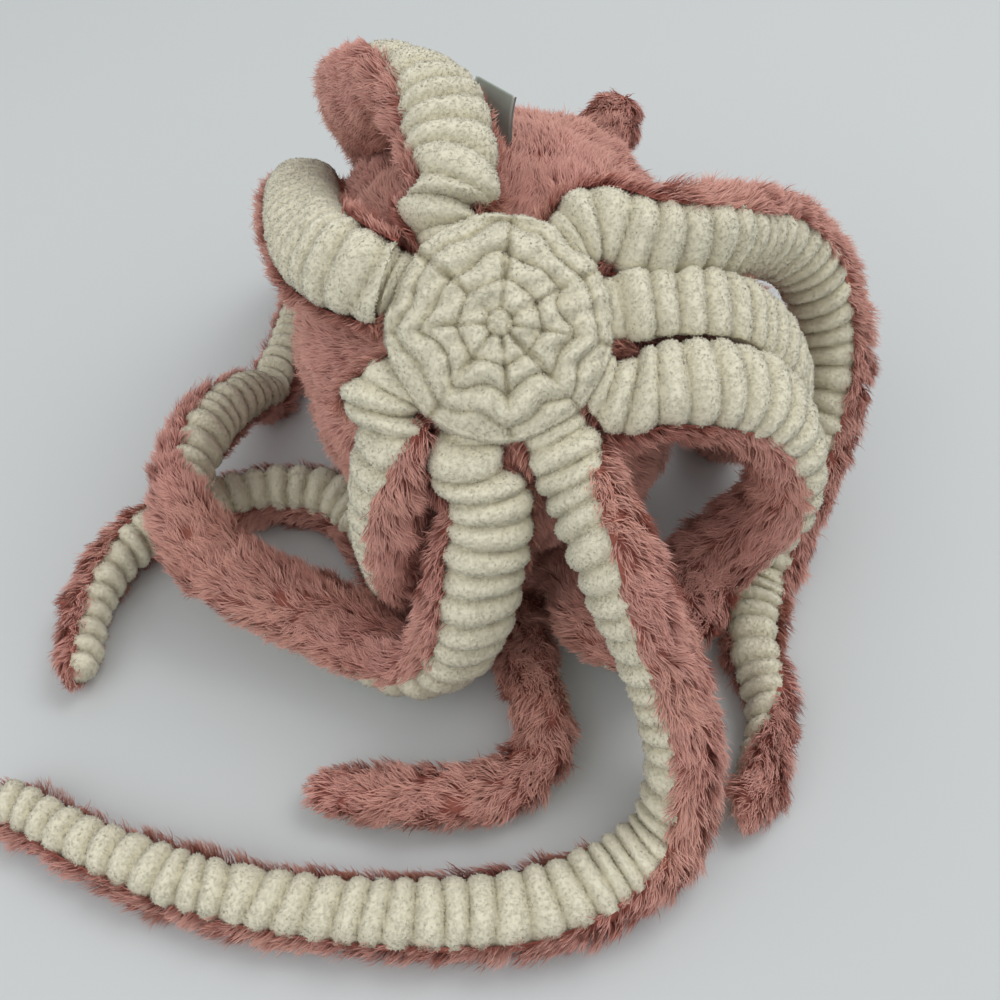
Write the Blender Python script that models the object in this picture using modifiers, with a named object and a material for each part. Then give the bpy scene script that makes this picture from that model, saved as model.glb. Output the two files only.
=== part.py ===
"""Plush octopus, lying on its stuffed head with the mouth side up and to the front.

Units are metres and +Z is up. The octopus is seen from -Y, with +X to the right. The origin
is the middle of the flat that the weight of the stuffed head presses into its underside.
"""

import math
from dataclasses import dataclass

import bmesh
import bpy
import numpy as np
from mathutils import Matrix, Vector

# Fits
SEWN_GAP = 0.0003
CUT_GAP = 0.0005
SOCKET_GAP = 0.0008
REST_CUT = 0.0005
OVERRUN = 0.020

# Head
HEAD_WIDTH = 0.154
HEAD_DEPTH = 0.180
HEAD_HEIGHT = 0.150
COVER_WALL = 0.004
MOUTH_HOLE_RADIUS = 0.024
MOUTH_ELEVATION_DEG = 50.0
SAG_POWER = 0.8
HEAD_SEGMENTS = 20
HEAD_RINGS = 12

# Mouth disk
DISK_RADIUS = 0.034
DISK_RISE = 0.020
DISK_SINK = 0.012
DISK_FLATNESS_POWER = 0.55
DISK_SEGMENTS = 16
DISK_RINGS = 8

# Arms
ARM_LENGTH = 0.420
ROUTE_LENGTH = 0.385
ARM_ROOT_WIDTH = 0.025
ARM_WIDTH = 0.037
ARM_TIP_WIDTH = 0.021
ARM_ROOT_THICKNESS = 0.020
ARM_THICKNESS = 0.028
ARM_TIP_THICKNESS = 0.017
ARM_ROOT_SINK = 0.009
BELLY_ROOT_WIDTH = 0.020
BELLY_WIDTH = 0.029
BELLY_TIP_WIDTH = 0.013
RING_STEP = 0.026
TURN_LENGTH = 0.024
ROUTE_STEPS = 12
PACE_STEPS = 120
BACK_POINTS = 6
FEWEST_RINGS = 3
ROUND_STEPS = 4
SOCKET_SEGMENTS = 20
SOCKET_RINGS = 10
BEND_RANGE_DEG = 25.0

# How an arm swells from its root to its fullest and tapers to its tip, and where the cream
# strip is let into the fur, as shares
FULLEST_SHARE = 0.16
BELLY_SHOULDER_SHARE = 0.66
ROOT_START_SHARE = 0.86
ROOT_OUTER_SHARE = 1.25

# Eyes: each bead sits in the side of its mound
EYE_RADIUS = 0.0045
EYE_SINK = 0.0020
EYE_LEVEL_SHARE = 0.5
MOUND_RADIUS = 0.0115
MOUND_HEIGHT = 0.022
MOUND_SEGMENTS = 10
MOUND_RINGS = 8

# Side label
LABEL_WIDTH = 0.019
LABEL_LENGTH = 0.028
LABEL_THICKNESS = 0.0010
LABEL_TURN_DEG = -137.0
LABEL_LEAN_DEG = -12.0
LABEL_SPOT_SHARE = (-0.035, 0.16, 1.02)

# Where the eyes stand on the head, as shares of its half sizes, and the way that they look
EYE_SPOT_SHARES = {"right": (0.50, 0.66, 0.56), "left": (-0.25, 0.93, 0.27)}
EYE_LOOK_SHARE = (0.15, 0.95, 0.20)

FUR_COLOUR = (0.56, 0.21, 0.17, 1.0)
CREAM_COLOUR = (0.72, 0.68, 0.55, 1.0)
FIBRE_COLOUR = (0.85, 0.85, 0.83, 1.0)
LABEL_COLOUR = (0.22, 0.27, 0.24, 1.0)
BEAD_COLOUR = (0.01, 0.01, 0.01, 1.0)


@dataclass(frozen=True)
class Arm:
    """One arm: its root's angle on the disk, its route and where it divides and bends."""

    name: str
    root_angle_deg: float
    route_shares: tuple
    middle_share: float
    tip_share: float


# Each row of a route is a place on the arm's middle line (x, y, z) as shares of ROUTE_LENGTH, and
# the way that the cream strip faces there. An arm never goes below the table.
ARMS = (
    Arm(
        "arm_5",
        298,
        (
            (0.07, -0.26, 0.245, -0.85, -0.40, 0.15),
            (0.10, -0.32, 0.208, -1.00, -0.05, 0.10),
            (0.14, -0.37, 0.130, -1.00, 0.10, 0.12),
            (0.155, -0.42, 0.070, -0.90, 0.30, 0.28),
            (0.135, -0.47, 0.020, -0.60, 0.45, 0.60),
            (0.075, -0.508, 0.000, -0.15, 0.30, 1.00),
            (0.00, -0.525, 0.000, 0.00, 0.00, 1.00),
            (-0.12, -0.525, 0.000, 0.00, 0.00, 1.00),
            (-0.24, -0.505, 0.000, 0.00, 0.00, 1.00),
            (-0.34, -0.47, 0.000, 0.05, 0.10, 1.00),
            (-0.445, -0.42, 0.000, 0.10, 0.15, 1.00),
        ),
        0.30,
        0.62,
    ),
    Arm(
        "arm_4",
        331,
        (
            (0.13, -0.20, 0.302, 0.00, -0.50, 0.85),
            (0.18, -0.19, 0.290, 0.05, -0.40, 0.90),
            (0.22, -0.185, 0.262, 0.50, -0.20, 0.85),
            (0.25, -0.19, 0.210, 0.95, 0.00, 0.45),
            (0.25, -0.20, 0.156, 1.00, 0.10, -0.10),
            (0.22, -0.21, 0.114, 0.60, 0.20, -0.75),
            (0.19, -0.225, 0.092, 0.10, 0.10, -1.00),
            (0.165, -0.268, 0.083, 0.00, 0.00, -1.00),
            (0.125, -0.297, 0.080, 0.00, 0.00, -1.00),
            (0.087, -0.268, 0.078, 0.00, 0.00, -1.00),
            (0.082, -0.237, 0.070, 0.00, 0.00, -1.00),
            (0.064, -0.192, 0.055, 0.00, 0.00, -1.00),
            (0.020, -0.192, 0.025, 0.00, 0.00, -1.00),
            (0.018, -0.25, 0.000, 0.20, 0.00, -1.00),
            (0.030, -0.31, 0.000, 0.60, 0.10, -0.80),
            (0.04, -0.37, 0.000, 0.40, 0.20, -0.90),
            (0.01, -0.41, 0.000, 0.10, 0.10, -1.00),
            (-0.05, -0.422, 0.000, 0.00, 0.00, -1.00),
            (-0.11, -0.42, 0.000, 0.00, 0.00, -1.00),
            (-0.21, -0.41, 0.000, 0.00, 0.00, -1.00),
        ),
        0.26,
        0.87,
    ),
    Arm(
        "arm_6",
        255,
        (
            (-0.01, -0.26, 0.235, 0.25, -0.85, 0.45),
            (-0.02, -0.29, 0.177, 0.50, -0.82, 0.28),
            (-0.033, -0.31, 0.119, 0.60, -0.78, 0.10),
            (-0.059, -0.31, 0.070, 0.30, -0.80, -0.45),
            (-0.097, -0.296, 0.055, 0.00, -0.50, -0.90),
            (-0.16, -0.267, 0.062, 0.00, -0.10, -1.00),
            (-0.245, -0.23, 0.083, 0.10, 0.00, -1.00),
            (-0.298, -0.19, 0.104, 0.50, 0.05, -0.60),
            (-0.315, -0.13, 0.109, 0.85, -0.05, 0.10),
            (-0.305, -0.055, 0.104, 0.80, -0.10, 0.50),
            (-0.285, 0.03, 0.065, 0.50, -0.30, 0.80),
            (-0.27, 0.09, 0.010, 0.10, -0.10, 1.00),
            (-0.26, 0.15, 0.000, 0.00, 0.00, 1.00),
            (-0.255, 0.21, 0.000, 0.00, 0.00, 1.00),
            (-0.25, 0.29, 0.000, 0.00, 0.00, 1.00),
        ),
        0.26,
        0.87,
    ),
    Arm(
        "arm_8",
        156,
        (
            (-0.09, -0.145, 0.363, -0.10, -0.80, 0.60),
            (-0.128, -0.12, 0.362, -0.20, -0.70, 0.70),
            (-0.16, -0.055, 0.335, -0.20, -0.45, 0.85),
            (-0.187, 0.045, 0.300, 0.00, 0.00, 1.00),
            (-0.203, 0.14, 0.255, 0.10, 0.30, 0.95),
            (-0.215, 0.22, 0.195, 0.00, 0.70, 0.70),
            (-0.22, 0.29, 0.110, 0.00, 0.90, 0.40),
            (-0.205, 0.36, 0.035, 0.00, 0.80, 0.60),
            (-0.16, 0.42, 0.000, 0.00, 0.20, 1.00),
            (-0.10, 0.47, 0.000, 0.00, 0.00, 1.00),
            (0.00, 0.49, 0.000, 0.00, 0.00, 1.00),
            (0.13, 0.49, 0.000, 0.00, 0.00, 1.00),
        ),
        0.34,
        0.81,
    ),
    Arm(
        "arm_1",
        118,
        (
            (-0.036, -0.085, 0.405, 0.15, -0.75, 0.65),
            (-0.045, -0.03, 0.422, 0.30, -0.62, 0.75),
            (-0.06, 0.01, 0.432, 0.55, -0.25, 0.80),
            (-0.09, 0.045, 0.422, 0.75, 0.15, 0.60),
            (-0.122, 0.085, 0.392, 0.80, 0.40, 0.45),
            (-0.138, 0.14, 0.350, 0.80, 0.35, 0.40),
            (-0.142, 0.205, 0.295, 0.85, 0.20, 0.45),
            (-0.14, 0.27, 0.220, 0.90, 0.10, 0.30),
            (-0.122, 0.33, 0.125, 0.80, 0.10, 0.40),
            (-0.09, 0.375, 0.030, 0.50, 0.20, 0.80),
            (-0.02, 0.40, 0.000, 0.00, 0.00, 1.00),
            (0.06, 0.40, 0.000, 0.00, 0.00, 1.00),
            (0.18, 0.38, 0.000, 0.00, 0.00, 1.00),
        ),
        0.34,
        0.82,
    ),
    Arm(
        "arm_2",
        50,
        (
            (0.12, -0.10, 0.373, 0.00, -0.95, 0.25),
            (0.174, -0.07, 0.354, 0.00, -1.00, 0.08),
            (0.244, -0.005, 0.306, -0.05, -1.00, 0.02),
            (0.298, 0.017, 0.260, -0.40, -0.90, 0.00),
            (0.329, 0.00, 0.203, -0.70, -0.70, 0.10),
            (0.337, -0.035, 0.151, -0.80, -0.50, 0.20),
            (0.325, -0.08, 0.105, -0.85, -0.30, 0.30),
            (0.297, -0.14, 0.060, -0.90, -0.10, 0.40),
            (0.26, -0.21, 0.000, -0.30, 0.00, 1.00),
            (0.243, -0.265, 0.000, 0.00, 0.00, 1.00),
            (0.25, -0.33, 0.000, -0.85, 0.20, 0.45),
            (0.238, -0.39, 0.000, -0.80, 0.30, -0.50),
            (0.208, -0.445, 0.000, -0.60, 0.40, -0.75),
        ),
        0.34,
        0.79,
    ),
    Arm(
        "arm_3",
        11,
        (
            (0.126, -0.140, 0.335, 0.00, -0.60, 0.80),
            (0.165, -0.130, 0.322, 0.05, -0.50, 0.85),
            (0.222, -0.105, 0.270, 0.40, -0.40, 0.85),
            (0.258, -0.09, 0.210, 0.85, -0.20, 0.55),
            (0.265, -0.075, 0.145, 0.95, 0.00, 0.30),
            (0.25, -0.02, 0.075, 0.90, 0.20, 0.30),
            (0.24, 0.05, 0.000, 0.70, 0.20, 0.60),
            (0.25, 0.13, 0.000, 0.10, 0.00, 1.00),
            (0.26, 0.22, 0.000, 0.00, 0.00, 1.00),
            (0.26, 0.32, 0.000, 0.00, 0.00, 1.00),
            (0.24, 0.48, 0.000, 0.00, 0.00, 1.00),
        ),
        0.34,
        0.70,
    ),
    Arm(
        "arm_7",
        209,
        (
            (-0.082, -0.22, 0.278, -0.70, -0.35, 0.55),
            (-0.088, -0.235, 0.243, -0.95, 0.05, 0.25),
            (-0.092, -0.243, 0.195, -0.97, 0.15, 0.05),
            (-0.092, -0.23, 0.125, -0.95, 0.12, 0.15),
            (-0.092, -0.205, 0.055, -0.65, 0.00, 0.70),
            (-0.12, -0.15, 0.000, 0.00, 0.00, 1.00),
            (-0.16, -0.10, 0.000, 0.00, 0.00, 1.00),
            (-0.22, -0.08, 0.000, 0.00, 0.00, 1.00),
            (-0.285, -0.088, 0.000, 0.10, 0.00, 1.00),
            (-0.335, -0.105, 0.000, 0.40, 0.00, 0.90),
            (-0.37, -0.137, 0.000, 0.80, 0.00, 0.50),
            (-0.397, -0.18, 0.000, 0.95, -0.10, 0.25),
            (-0.406, -0.236, 0.000, 1.00, 0.00, 0.15),
            (-0.40, -0.31, 0.000, 1.00, 0.00, 0.15),
        ),
        0.30,
        0.68,
    ),
)

HEAD_CENTRE = Vector((0.0, 0.0, HEAD_HEIGHT / 2 - REST_CUT))
HEAD_HALF = Vector((HEAD_WIDTH / 2, HEAD_DEPTH / 2, HEAD_HEIGHT / 2))


def clear_scene():
    """Remove every object that the scene holds."""
    for ob in list(bpy.data.objects):
        bpy.data.objects.remove(ob, do_unlink=True)


def make_collection(name):
    """Make a collection in the scene."""
    group = bpy.data.collections.new(name)
    bpy.context.scene.collection.children.link(group)
    return group


def make_material(name, colour, roughness):
    """Make a plain Principled material."""
    mat = bpy.data.materials.new(name)
    mat.use_nodes = True
    shader = mat.node_tree.nodes["Principled BSDF"]
    shader.inputs["Base Color"].default_value = colour
    shader.inputs["Roughness"].default_value = roughness
    shader.inputs["Metallic"].default_value = 0.0
    return mat


def add_object(name, bm, group, material=None):
    """Put a mesh into a collection as a smooth-shaded object, or as a hidden cutter."""
    bmesh.ops.recalc_face_normals(bm, faces=bm.faces)
    if bm.calc_volume(signed=True) < 0.0:
        bmesh.ops.reverse_faces(bm, faces=bm.faces)
    mesh = bpy.data.meshes.new(name)
    bm.to_mesh(mesh)
    bm.free()
    mesh.shade_smooth()
    ob = bpy.data.objects.new(name, mesh)
    group.objects.link(ob)
    if material is None:
        ob.hide_render = True
        ob.display_type = "WIRE"
    else:
        mesh.materials.append(material)
    return ob


def cut(ob, cutter):
    """Cut an object by a cutter."""
    boolean = ob.modifiers.new(cutter.name, "BOOLEAN")
    boolean.operation = "DIFFERENCE"
    boolean.solver = "MANIFOLD"
    boolean.object = cutter


def on_head(elevation_deg):
    """Give the place on the head's front whose outward direction has this elevation."""
    angle = math.radians(elevation_deg)
    out = Vector((0.0, -math.cos(angle), math.sin(angle)))
    scaled = Vector(out[i] * HEAD_HALF[i] for i in range(3))
    unit = scaled.normalized()
    return HEAD_CENTRE + Vector(unit[i] * HEAD_HALF[i] for i in range(3)), out, unit


MOUTH, MOUTH_OUT, MOUTH_POLE = on_head(MOUTH_ELEVATION_DEG)
MOUTH_RIGHT = Vector((1.0, 0.0, 0.0))
MOUTH_UP = MOUTH_OUT.cross(MOUTH_RIGHT)


def head_mesh(shrink):
    """Make the head's form, drawn in by a wall, with its poles at and behind the mouth."""
    bm = bmesh.new()
    turn = MOUTH_POLE.to_track_quat("Z", "Y").to_matrix().to_4x4()
    bmesh.ops.create_uvsphere(
        bm, u_segments=HEAD_SEGMENTS, v_segments=HEAD_RINGS, radius=1.0, matrix=turn
    )
    half = HEAD_HALF - Vector((shrink, shrink, shrink))
    for vert in bm.verts:
        x, y, z = vert.co
        if z < 0.0:
            z = -(abs(z) ** SAG_POWER)
        vert.co = HEAD_CENTRE + Vector((x * half.x, y * half.y, z * half.z))
    return bm


def make_head(parts, cutters, fur, fibre):
    """Make the head's fur cover, open at the mouth, and the stuffing inside it."""
    bm = head_mesh(0.0)
    hole = [
        face
        for face in bm.faces
        if (face.calc_center_median() - MOUTH).length < MOUTH_HOLE_RADIUS
    ]
    bmesh.ops.delete(bm, geom=hole, context="FACES")
    cover = add_object("head_cover", bm, parts, fur)
    wall = cover.modifiers.new("wall", "SOLIDIFY")
    wall.thickness = COVER_WALL
    wall.offset = -1.0
    stuffing = add_object("head_stuffing", head_mesh(COVER_WALL + 2 * SEWN_GAP), parts, fibre)
    cutter = add_object("cut_head", head_mesh(-CUT_GAP), cutters)
    return cover, stuffing, cutter


def disk_mesh(grow):
    """Make the mouth disk: a stuffed round with a flattened face and a rounded rim."""
    bm = bmesh.new()
    turn = Matrix((MOUTH_RIGHT, MOUTH_UP, MOUTH_OUT)).transposed().to_4x4()
    bmesh.ops.create_uvsphere(
        bm, u_segments=DISK_SEGMENTS, v_segments=DISK_RINGS, radius=1.0
    )
    for vert in bm.verts:
        x, y, z = vert.co
        level = math.copysign(abs(z) ** DISK_FLATNESS_POWER, z)
        height = (DISK_RISE if z > 0.0 else DISK_SINK) + grow
        place = Vector((x * (DISK_RADIUS + grow), y * (DISK_RADIUS + grow), level * height))
        vert.co = MOUTH + turn @ place
    return bm


def floor_mesh():
    """Make the block under the table top."""
    bm = bmesh.new()
    bmesh.ops.create_cube(bm, size=1.0)
    side = 2 * (ARM_LENGTH + HEAD_DEPTH)
    for vert in bm.verts:
        x, y, z = vert.co
        vert.co = Vector((x * side, y * side, z * OVERRUN - OVERRUN / 2))
    return bm


def taper(share, root, fullest, tip):
    """Give a width at a share of the arm's length: it swells from the root, then tapers."""
    if share < FULLEST_SHARE:
        rise = math.sin(math.pi / 2 * share / FULLEST_SHARE)
        return root + (fullest - root) * rise
    fall = (share - FULLEST_SHARE) / (1.0 - FULLEST_SHARE)
    return fullest + (tip - fullest) * fall


class Route:
    """The middle line of an arm, with the way that its cream strip faces."""

    def __init__(self, arm):
        angle = math.radians(arm.root_angle_deg)
        out = MOUTH_RIGHT * math.cos(angle) + MOUTH_UP * math.sin(angle)
        rows = []
        for share in (ROOT_START_SHARE, ROOT_OUTER_SHARE):
            place = MOUTH + out * DISK_RADIUS * share
            reach = DISK_RADIUS * share
            drop = HEAD_HALF.y - math.sqrt(HEAD_HALF.y**2 - reach**2)
            place += MOUTH_OUT * (ARM_ROOT_SINK - drop)
            rows.append((*place, *MOUTH_OUT))
        for x, y, z, *faces in arm.route_shares:
            rows.append((x * ROUTE_LENGTH, y * ROUTE_LENGTH, z * ROUTE_LENGTH, *faces))
        self.rows = self.smooth(np.array(rows))
        steps = np.linalg.norm(np.diff(self.rows[:, :3], axis=0), axis=1)
        self.along = np.concatenate(([0.0], np.cumsum(steps)))
        self.length = min(ARM_LENGTH, self.along[-1])
        self.shares = np.linspace(0.0, 1.0, PACE_STEPS + 1)
        self.paces = self.pace()

    @staticmethod
    def smooth(rows):
        """Run a smooth curve through the rows."""
        ends = np.vstack((2 * rows[0] - rows[1], rows, 2 * rows[-1] - rows[-2]))
        found = []
        for i in range(1, len(ends) - 2):
            a, b, c, d = ends[i - 1 : i + 3]
            for step in range(ROUTE_STEPS):
                t = step / ROUTE_STEPS
                found.append(
                    b
                    + (c - a) * t / 2
                    + (2 * a - 5 * b + 4 * c - d) * t**2 / 2
                    + (3 * b - a - 3 * c + d) * t**3 / 2
                )
        found.append(rows[-1])
        return np.array(found)

    def pace(self):
        """Give the way gone at each share, where a radian of turn counts as TURN_LENGTH."""
        found = [0.0]
        last = self.frame(0.0)
        for share in self.shares[1:]:
            this = self.frame(share)
            turn = this[1].angle(last[1]) + this[3].angle(last[3])
            found.append(found[-1] + (this[0] - last[0]).length + turn * TURN_LENGTH)
            last = this
        return np.array(found)

    def ring_shares(self, start, end):
        """Give the shares at which rings lie: closer together where the arm turns or twists."""
        low, high = np.interp((start, end), self.shares, self.paces)
        count = max(FEWEST_RINGS, round((high - low) / RING_STEP))
        return np.interp(np.linspace(low, high, count + 1), self.paces, self.shares)

    def row(self, share):
        """Give the place and the facing at a share of the arm's length."""
        at = share * self.length
        values = [np.interp(at, self.along, column) for column in self.rows.T]
        return Vector(values[:3]), Vector(values[3:])

    def frame(self, share):
        """Give the place, the way along, the side and the facing at a share of the length."""
        reach = ARM_THICKNESS / self.length / 2
        before, _ = self.row(max(0.0, share - reach))
        after, _ = self.row(min(1.0, share + reach))
        along = (after - before).normalized()
        place, faces = self.row(share)
        faces = (faces - along * faces.dot(along)).normalized()
        side = along.cross(faces)
        half_width = taper(share, ARM_ROOT_WIDTH, ARM_WIDTH, ARM_TIP_WIDTH) / 2
        half_thick = taper(share, ARM_ROOT_THICKNESS, ARM_THICKNESS, ARM_TIP_THICKNESS) / 2
        reach_down = math.hypot(half_width * side.z, half_thick * faces.z)
        place.z = max(place.z, reach_down - REST_CUT)
        return place, along, side, faces


def back_section(half_width, half_thick, half_belly):
    """Give the fur back's section: round, and flat as wide as the cream strip that lies on it."""
    start = math.acos(half_belly / half_width)
    spread = math.pi + 2 * start
    points = []
    for i in range(BACK_POINTS):
        angle = start - spread * i / (BACK_POINTS - 1)
        points.append((half_width * math.cos(angle), half_thick * math.sin(angle)))
    return points


def belly_section(half_width, half_thick, half_belly):
    """Give the cream strip's section: a low crown on a flat base."""
    base = half_thick * math.sin(math.acos(half_belly / half_width)) + SEWN_GAP
    inner = half_belly * BELLY_SHOULDER_SHARE
    crown = half_thick * math.sqrt(1.0 - (inner / half_width) ** 2)
    return [(-half_belly, base), (-inner, crown), (0.0, half_thick), (inner, crown), (half_belly, base)]


def cutter_section(half_width, half_thick, half_belly):
    """Give the outline of fur back and cream strip together, a little larger than they are."""
    sizes = (half_width + CUT_GAP, half_thick + CUT_GAP, half_belly + CUT_GAP)
    return back_section(*sizes) + belly_section(*sizes)[1:-1]


def segment_rings(route, start, end, round_start, round_end, before_bend):
    """Give the rings of one segment: place, side, facing, share and how full the section is.

    A round start is half an egg about the bend, which turns there without leaving its own
    shape. The segment before it ends short, by what its sides need to turn as far as they do.
    """
    rings = []
    last = end
    if round_start:
        place, along, side, faces = route.frame(start)
        for back, full in round_steps(start):
            rings.append((place - along * back, side, faces, start, full))
    if round_end:
        last = end - end_reach(end) / route.length
    if before_bend:
        turned = end_reach(end) * math.sin(math.radians(BEND_RANGE_DEG))
        last = end - (turned + SOCKET_GAP) / route.length
    for share in route.ring_shares(start, last):
        place, _, side, faces = route.frame(share)
        rings.append((place, side, faces, share, 1.0))
    if round_end:
        place, along, side, faces = route.frame(last)
        for ahead, full in reversed(round_steps(end)):
            rings.append((place + along * ahead, side, faces, last, full))
    return rings


def round_steps(share):
    """Give how far each ring of a round end lies from its middle, and how full it is."""
    reach = end_reach(share)
    angles = [math.pi / 2 * i / ROUND_STEPS for i in range(ROUND_STEPS)]
    return [(reach * math.cos(angle), math.sin(angle)) for angle in angles]


def end_reach(share):
    """Give how far a round end reaches: half of what turns in the plane of the bend."""
    return taper(share, ARM_ROOT_WIDTH, ARM_WIDTH, ARM_TIP_WIDTH) / 2


def loft(rings, kind):
    """Join the rings of a segment with faces, as fur back, cream strip or cutter.

    The strip's base is divided along the same diagonals as the flat of the back beneath it, so
    that the two stay apart where the arm twists.
    """
    bm = bmesh.new()
    loops = []
    for place, side, faces, share, full in rings:
        half_width = taper(share, ARM_ROOT_WIDTH, ARM_WIDTH, ARM_TIP_WIDTH) / 2
        half_thick = taper(share, ARM_ROOT_THICKNESS, ARM_THICKNESS, ARM_TIP_THICKNESS) / 2
        half_belly = taper(share, BELLY_ROOT_WIDTH, BELLY_WIDTH, BELLY_TIP_WIDTH) / 2
        if kind == "back":
            section = back_section(half_width, half_thick, half_belly)
        elif kind == "belly":
            section = belly_section(half_width, half_thick, half_belly)
        else:
            section = cutter_section(half_width, half_thick, half_belly)
        if full == 0.0:
            if kind == "belly":
                place = place + faces * SEWN_GAP
            elif kind == "cutter":
                outward = faces.cross(side) if loops else side.cross(faces)
                place = place + outward * CUT_GAP
            loops.append([bm.verts.new(place)])
            continue
        loops.append([bm.verts.new(place + (side * u + faces * v) * full) for u, v in section])
    for low, high in zip(loops, loops[1:]):
        if len(low) == 1 or len(high) == 1:
            pole, ring = (low[0], high) if len(low) == 1 else (high[0], low)
            for i, vert in enumerate(ring):
                bm.faces.new((pole, vert, ring[(i + 1) % len(ring)]))
            continue
        for i in range(len(low)):
            j = (i + 1) % len(low)
            corners = (low[i], low[j], high[j], high[i])
            if kind == "belly" and j == 0:
                corners = (low[j], high[j], high[i], low[i])
            bm.faces.new(corners)
    for ring in (loops[0], loops[-1]):
        if len(ring) > 1:
            bm.faces.new(ring)
    bmesh.ops.triangulate(bm, faces=bm.faces, quad_method="FIXED")
    return bm


def bounds(ob):
    """Give an object's lowest and highest corners."""
    points = np.array([ob.matrix_world @ vert.co for vert in ob.data.vertices])
    return points.min(axis=0), points.max(axis=0)


def near(one, other):
    """Say whether two objects' boxes meet."""
    low, high = bounds(one)
    other_low, other_high = bounds(other)
    return bool(np.all(low < other_high) and np.all(other_low < high))


def ball_mesh(radius, place, segments, rings, height=None, out=None):
    """Make a ball, or an egg that stands out by its height."""
    bm = bmesh.new()
    turn = Matrix.Identity(3)
    if out is not None:
        turn = out.to_track_quat("Z", "Y").to_matrix()
    bmesh.ops.create_uvsphere(bm, u_segments=segments, v_segments=rings, radius=radius)
    for vert in bm.verts:
        if height is not None:
            vert.co.z *= height / radius
        vert.co = place + turn @ vert.co
    return bm


def make_eyes(parts, cutters, cut_head, fur, bead):
    """Make the two eye mounds on the far side of the head, each with its bead."""
    for side, spot in EYE_SPOT_SHARES.items():
        unit = Vector(spot).normalized()
        place = HEAD_CENTRE + Vector(unit[i] * HEAD_HALF[i] for i in range(3))
        out = Vector(unit[i] / HEAD_HALF[i] for i in range(3)).normalized()
        shape = (MOUND_SEGMENTS, MOUND_RINGS, MOUND_HEIGHT, out)
        mound = add_object(
            f"eye_mound_{side}", ball_mesh(MOUND_RADIUS, place, *shape), parts, fur
        )
        look = Vector(EYE_LOOK_SHARE)
        look = (look - out * look.dot(out)).normalized()
        centre = place + out * MOUND_HEIGHT * EYE_LEVEL_SHARE
        reach = MOUND_RADIUS * math.sqrt(1 - EYE_LEVEL_SHARE**2) + EYE_RADIUS - EYE_SINK
        spot_size = (centre + look * (reach - EYE_RADIUS), MOUND_SEGMENTS, MOUND_RINGS)
        add_object(f"eye_{side}", ball_mesh(EYE_RADIUS, *spot_size), parts, bead)
        cutter = add_object(
            f"cut_eye_{side}", ball_mesh(EYE_RADIUS + CUT_GAP, *spot_size), cutters
        )
        cut(mound, cut_head)
        cut(mound, cutter)


def make_label(parts, cut_head, cloth):
    """Make the bare label, which stands in the seam beside the top arm."""
    bm = bmesh.new()
    bmesh.ops.create_cube(bm, size=1.0)
    turn = Matrix.Rotation(math.radians(LABEL_TURN_DEG), 3, "Z")
    lean = Matrix.Rotation(math.radians(LABEL_LEAN_DEG), 3, "Y")
    foot = HEAD_CENTRE + Vector(LABEL_SPOT_SHARE[i] * HEAD_HALF[i] for i in range(3))
    for vert in bm.verts:
        x, y, z = vert.co
        size = Vector((x * LABEL_THICKNESS, y * LABEL_WIDTH, z * LABEL_LENGTH))
        vert.co = foot + turn @ lean @ size
    label = add_object("side_label", bm, parts, cloth)
    cut(label, cut_head)
    return label


def make_bend(name, place, axis, parts):
    """Put an empty on the line about which an arm's end bends, with its Z along that line."""
    bend = bpy.data.objects.new(name, None)
    parts.objects.link(bend)
    bend.empty_display_size = ARM_THICKNESS
    turn = axis.to_track_quat("Z", "Y").to_matrix().to_4x4()
    bend.matrix_world = Matrix.Translation(place) @ turn
    return bend


def make_arm(arm, parts, cutters, fur, cream):
    """Make an arm's three lengths of fur back and cream strip, and their cutters.

    The middle length is cut by a socket, in which the round start of the arm's end turns.
    """
    route = Route(arm)
    spans = (
        ("tip", arm.tip_share, 1.0, True, True, False),
        ("root", 0.0, arm.middle_share, False, False, False),
        ("middle", arm.middle_share, arm.tip_share, False, False, True),
    )
    found = []
    for label, *span in spans:
        rings = segment_rings(route, *span)
        back = add_object(f"{arm.name}_{label}_fur", loft(rings, "back"), parts, fur)
        belly = add_object(f"{arm.name}_{label}_belly", loft(rings, "belly"), parts, cream)
        cutter = add_object(f"cut_{arm.name}_{label}", loft(rings, "cutter"), cutters)
        found.append((back, belly, cutter))
    place, _, _, axis = route.frame(arm.tip_share)
    bend = make_bend(f"{arm.name}_bend", place, axis, parts)
    tip, _, middle = found
    for ob in tip:
        ob.parent = bend
        ob.matrix_parent_inverse = bend.matrix_world.inverted()
    half_thick = taper(arm.tip_share, ARM_ROOT_THICKNESS, ARM_THICKNESS, ARM_TIP_THICKNESS) / 2
    ball = ball_mesh(
        end_reach(arm.tip_share) + SOCKET_GAP,
        place,
        SOCKET_SEGMENTS,
        SOCKET_RINGS,
        half_thick + SOCKET_GAP,
        axis,
    )
    socket = add_object(f"cut_{arm.name}_socket", ball, cutters)
    for ob in middle[:2]:
        cut(ob, socket)
    print(
        f"{arm.name}: length {route.length:.3f} of {route.along[-1]:.3f},"
        f" bends at ({place.x:.4f}, {place.y:.4f}, {place.z:.4f})"
        f" about ({axis.x:.3f}, {axis.y:.3f}, {axis.z:.3f})"
    )
    return found


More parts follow.
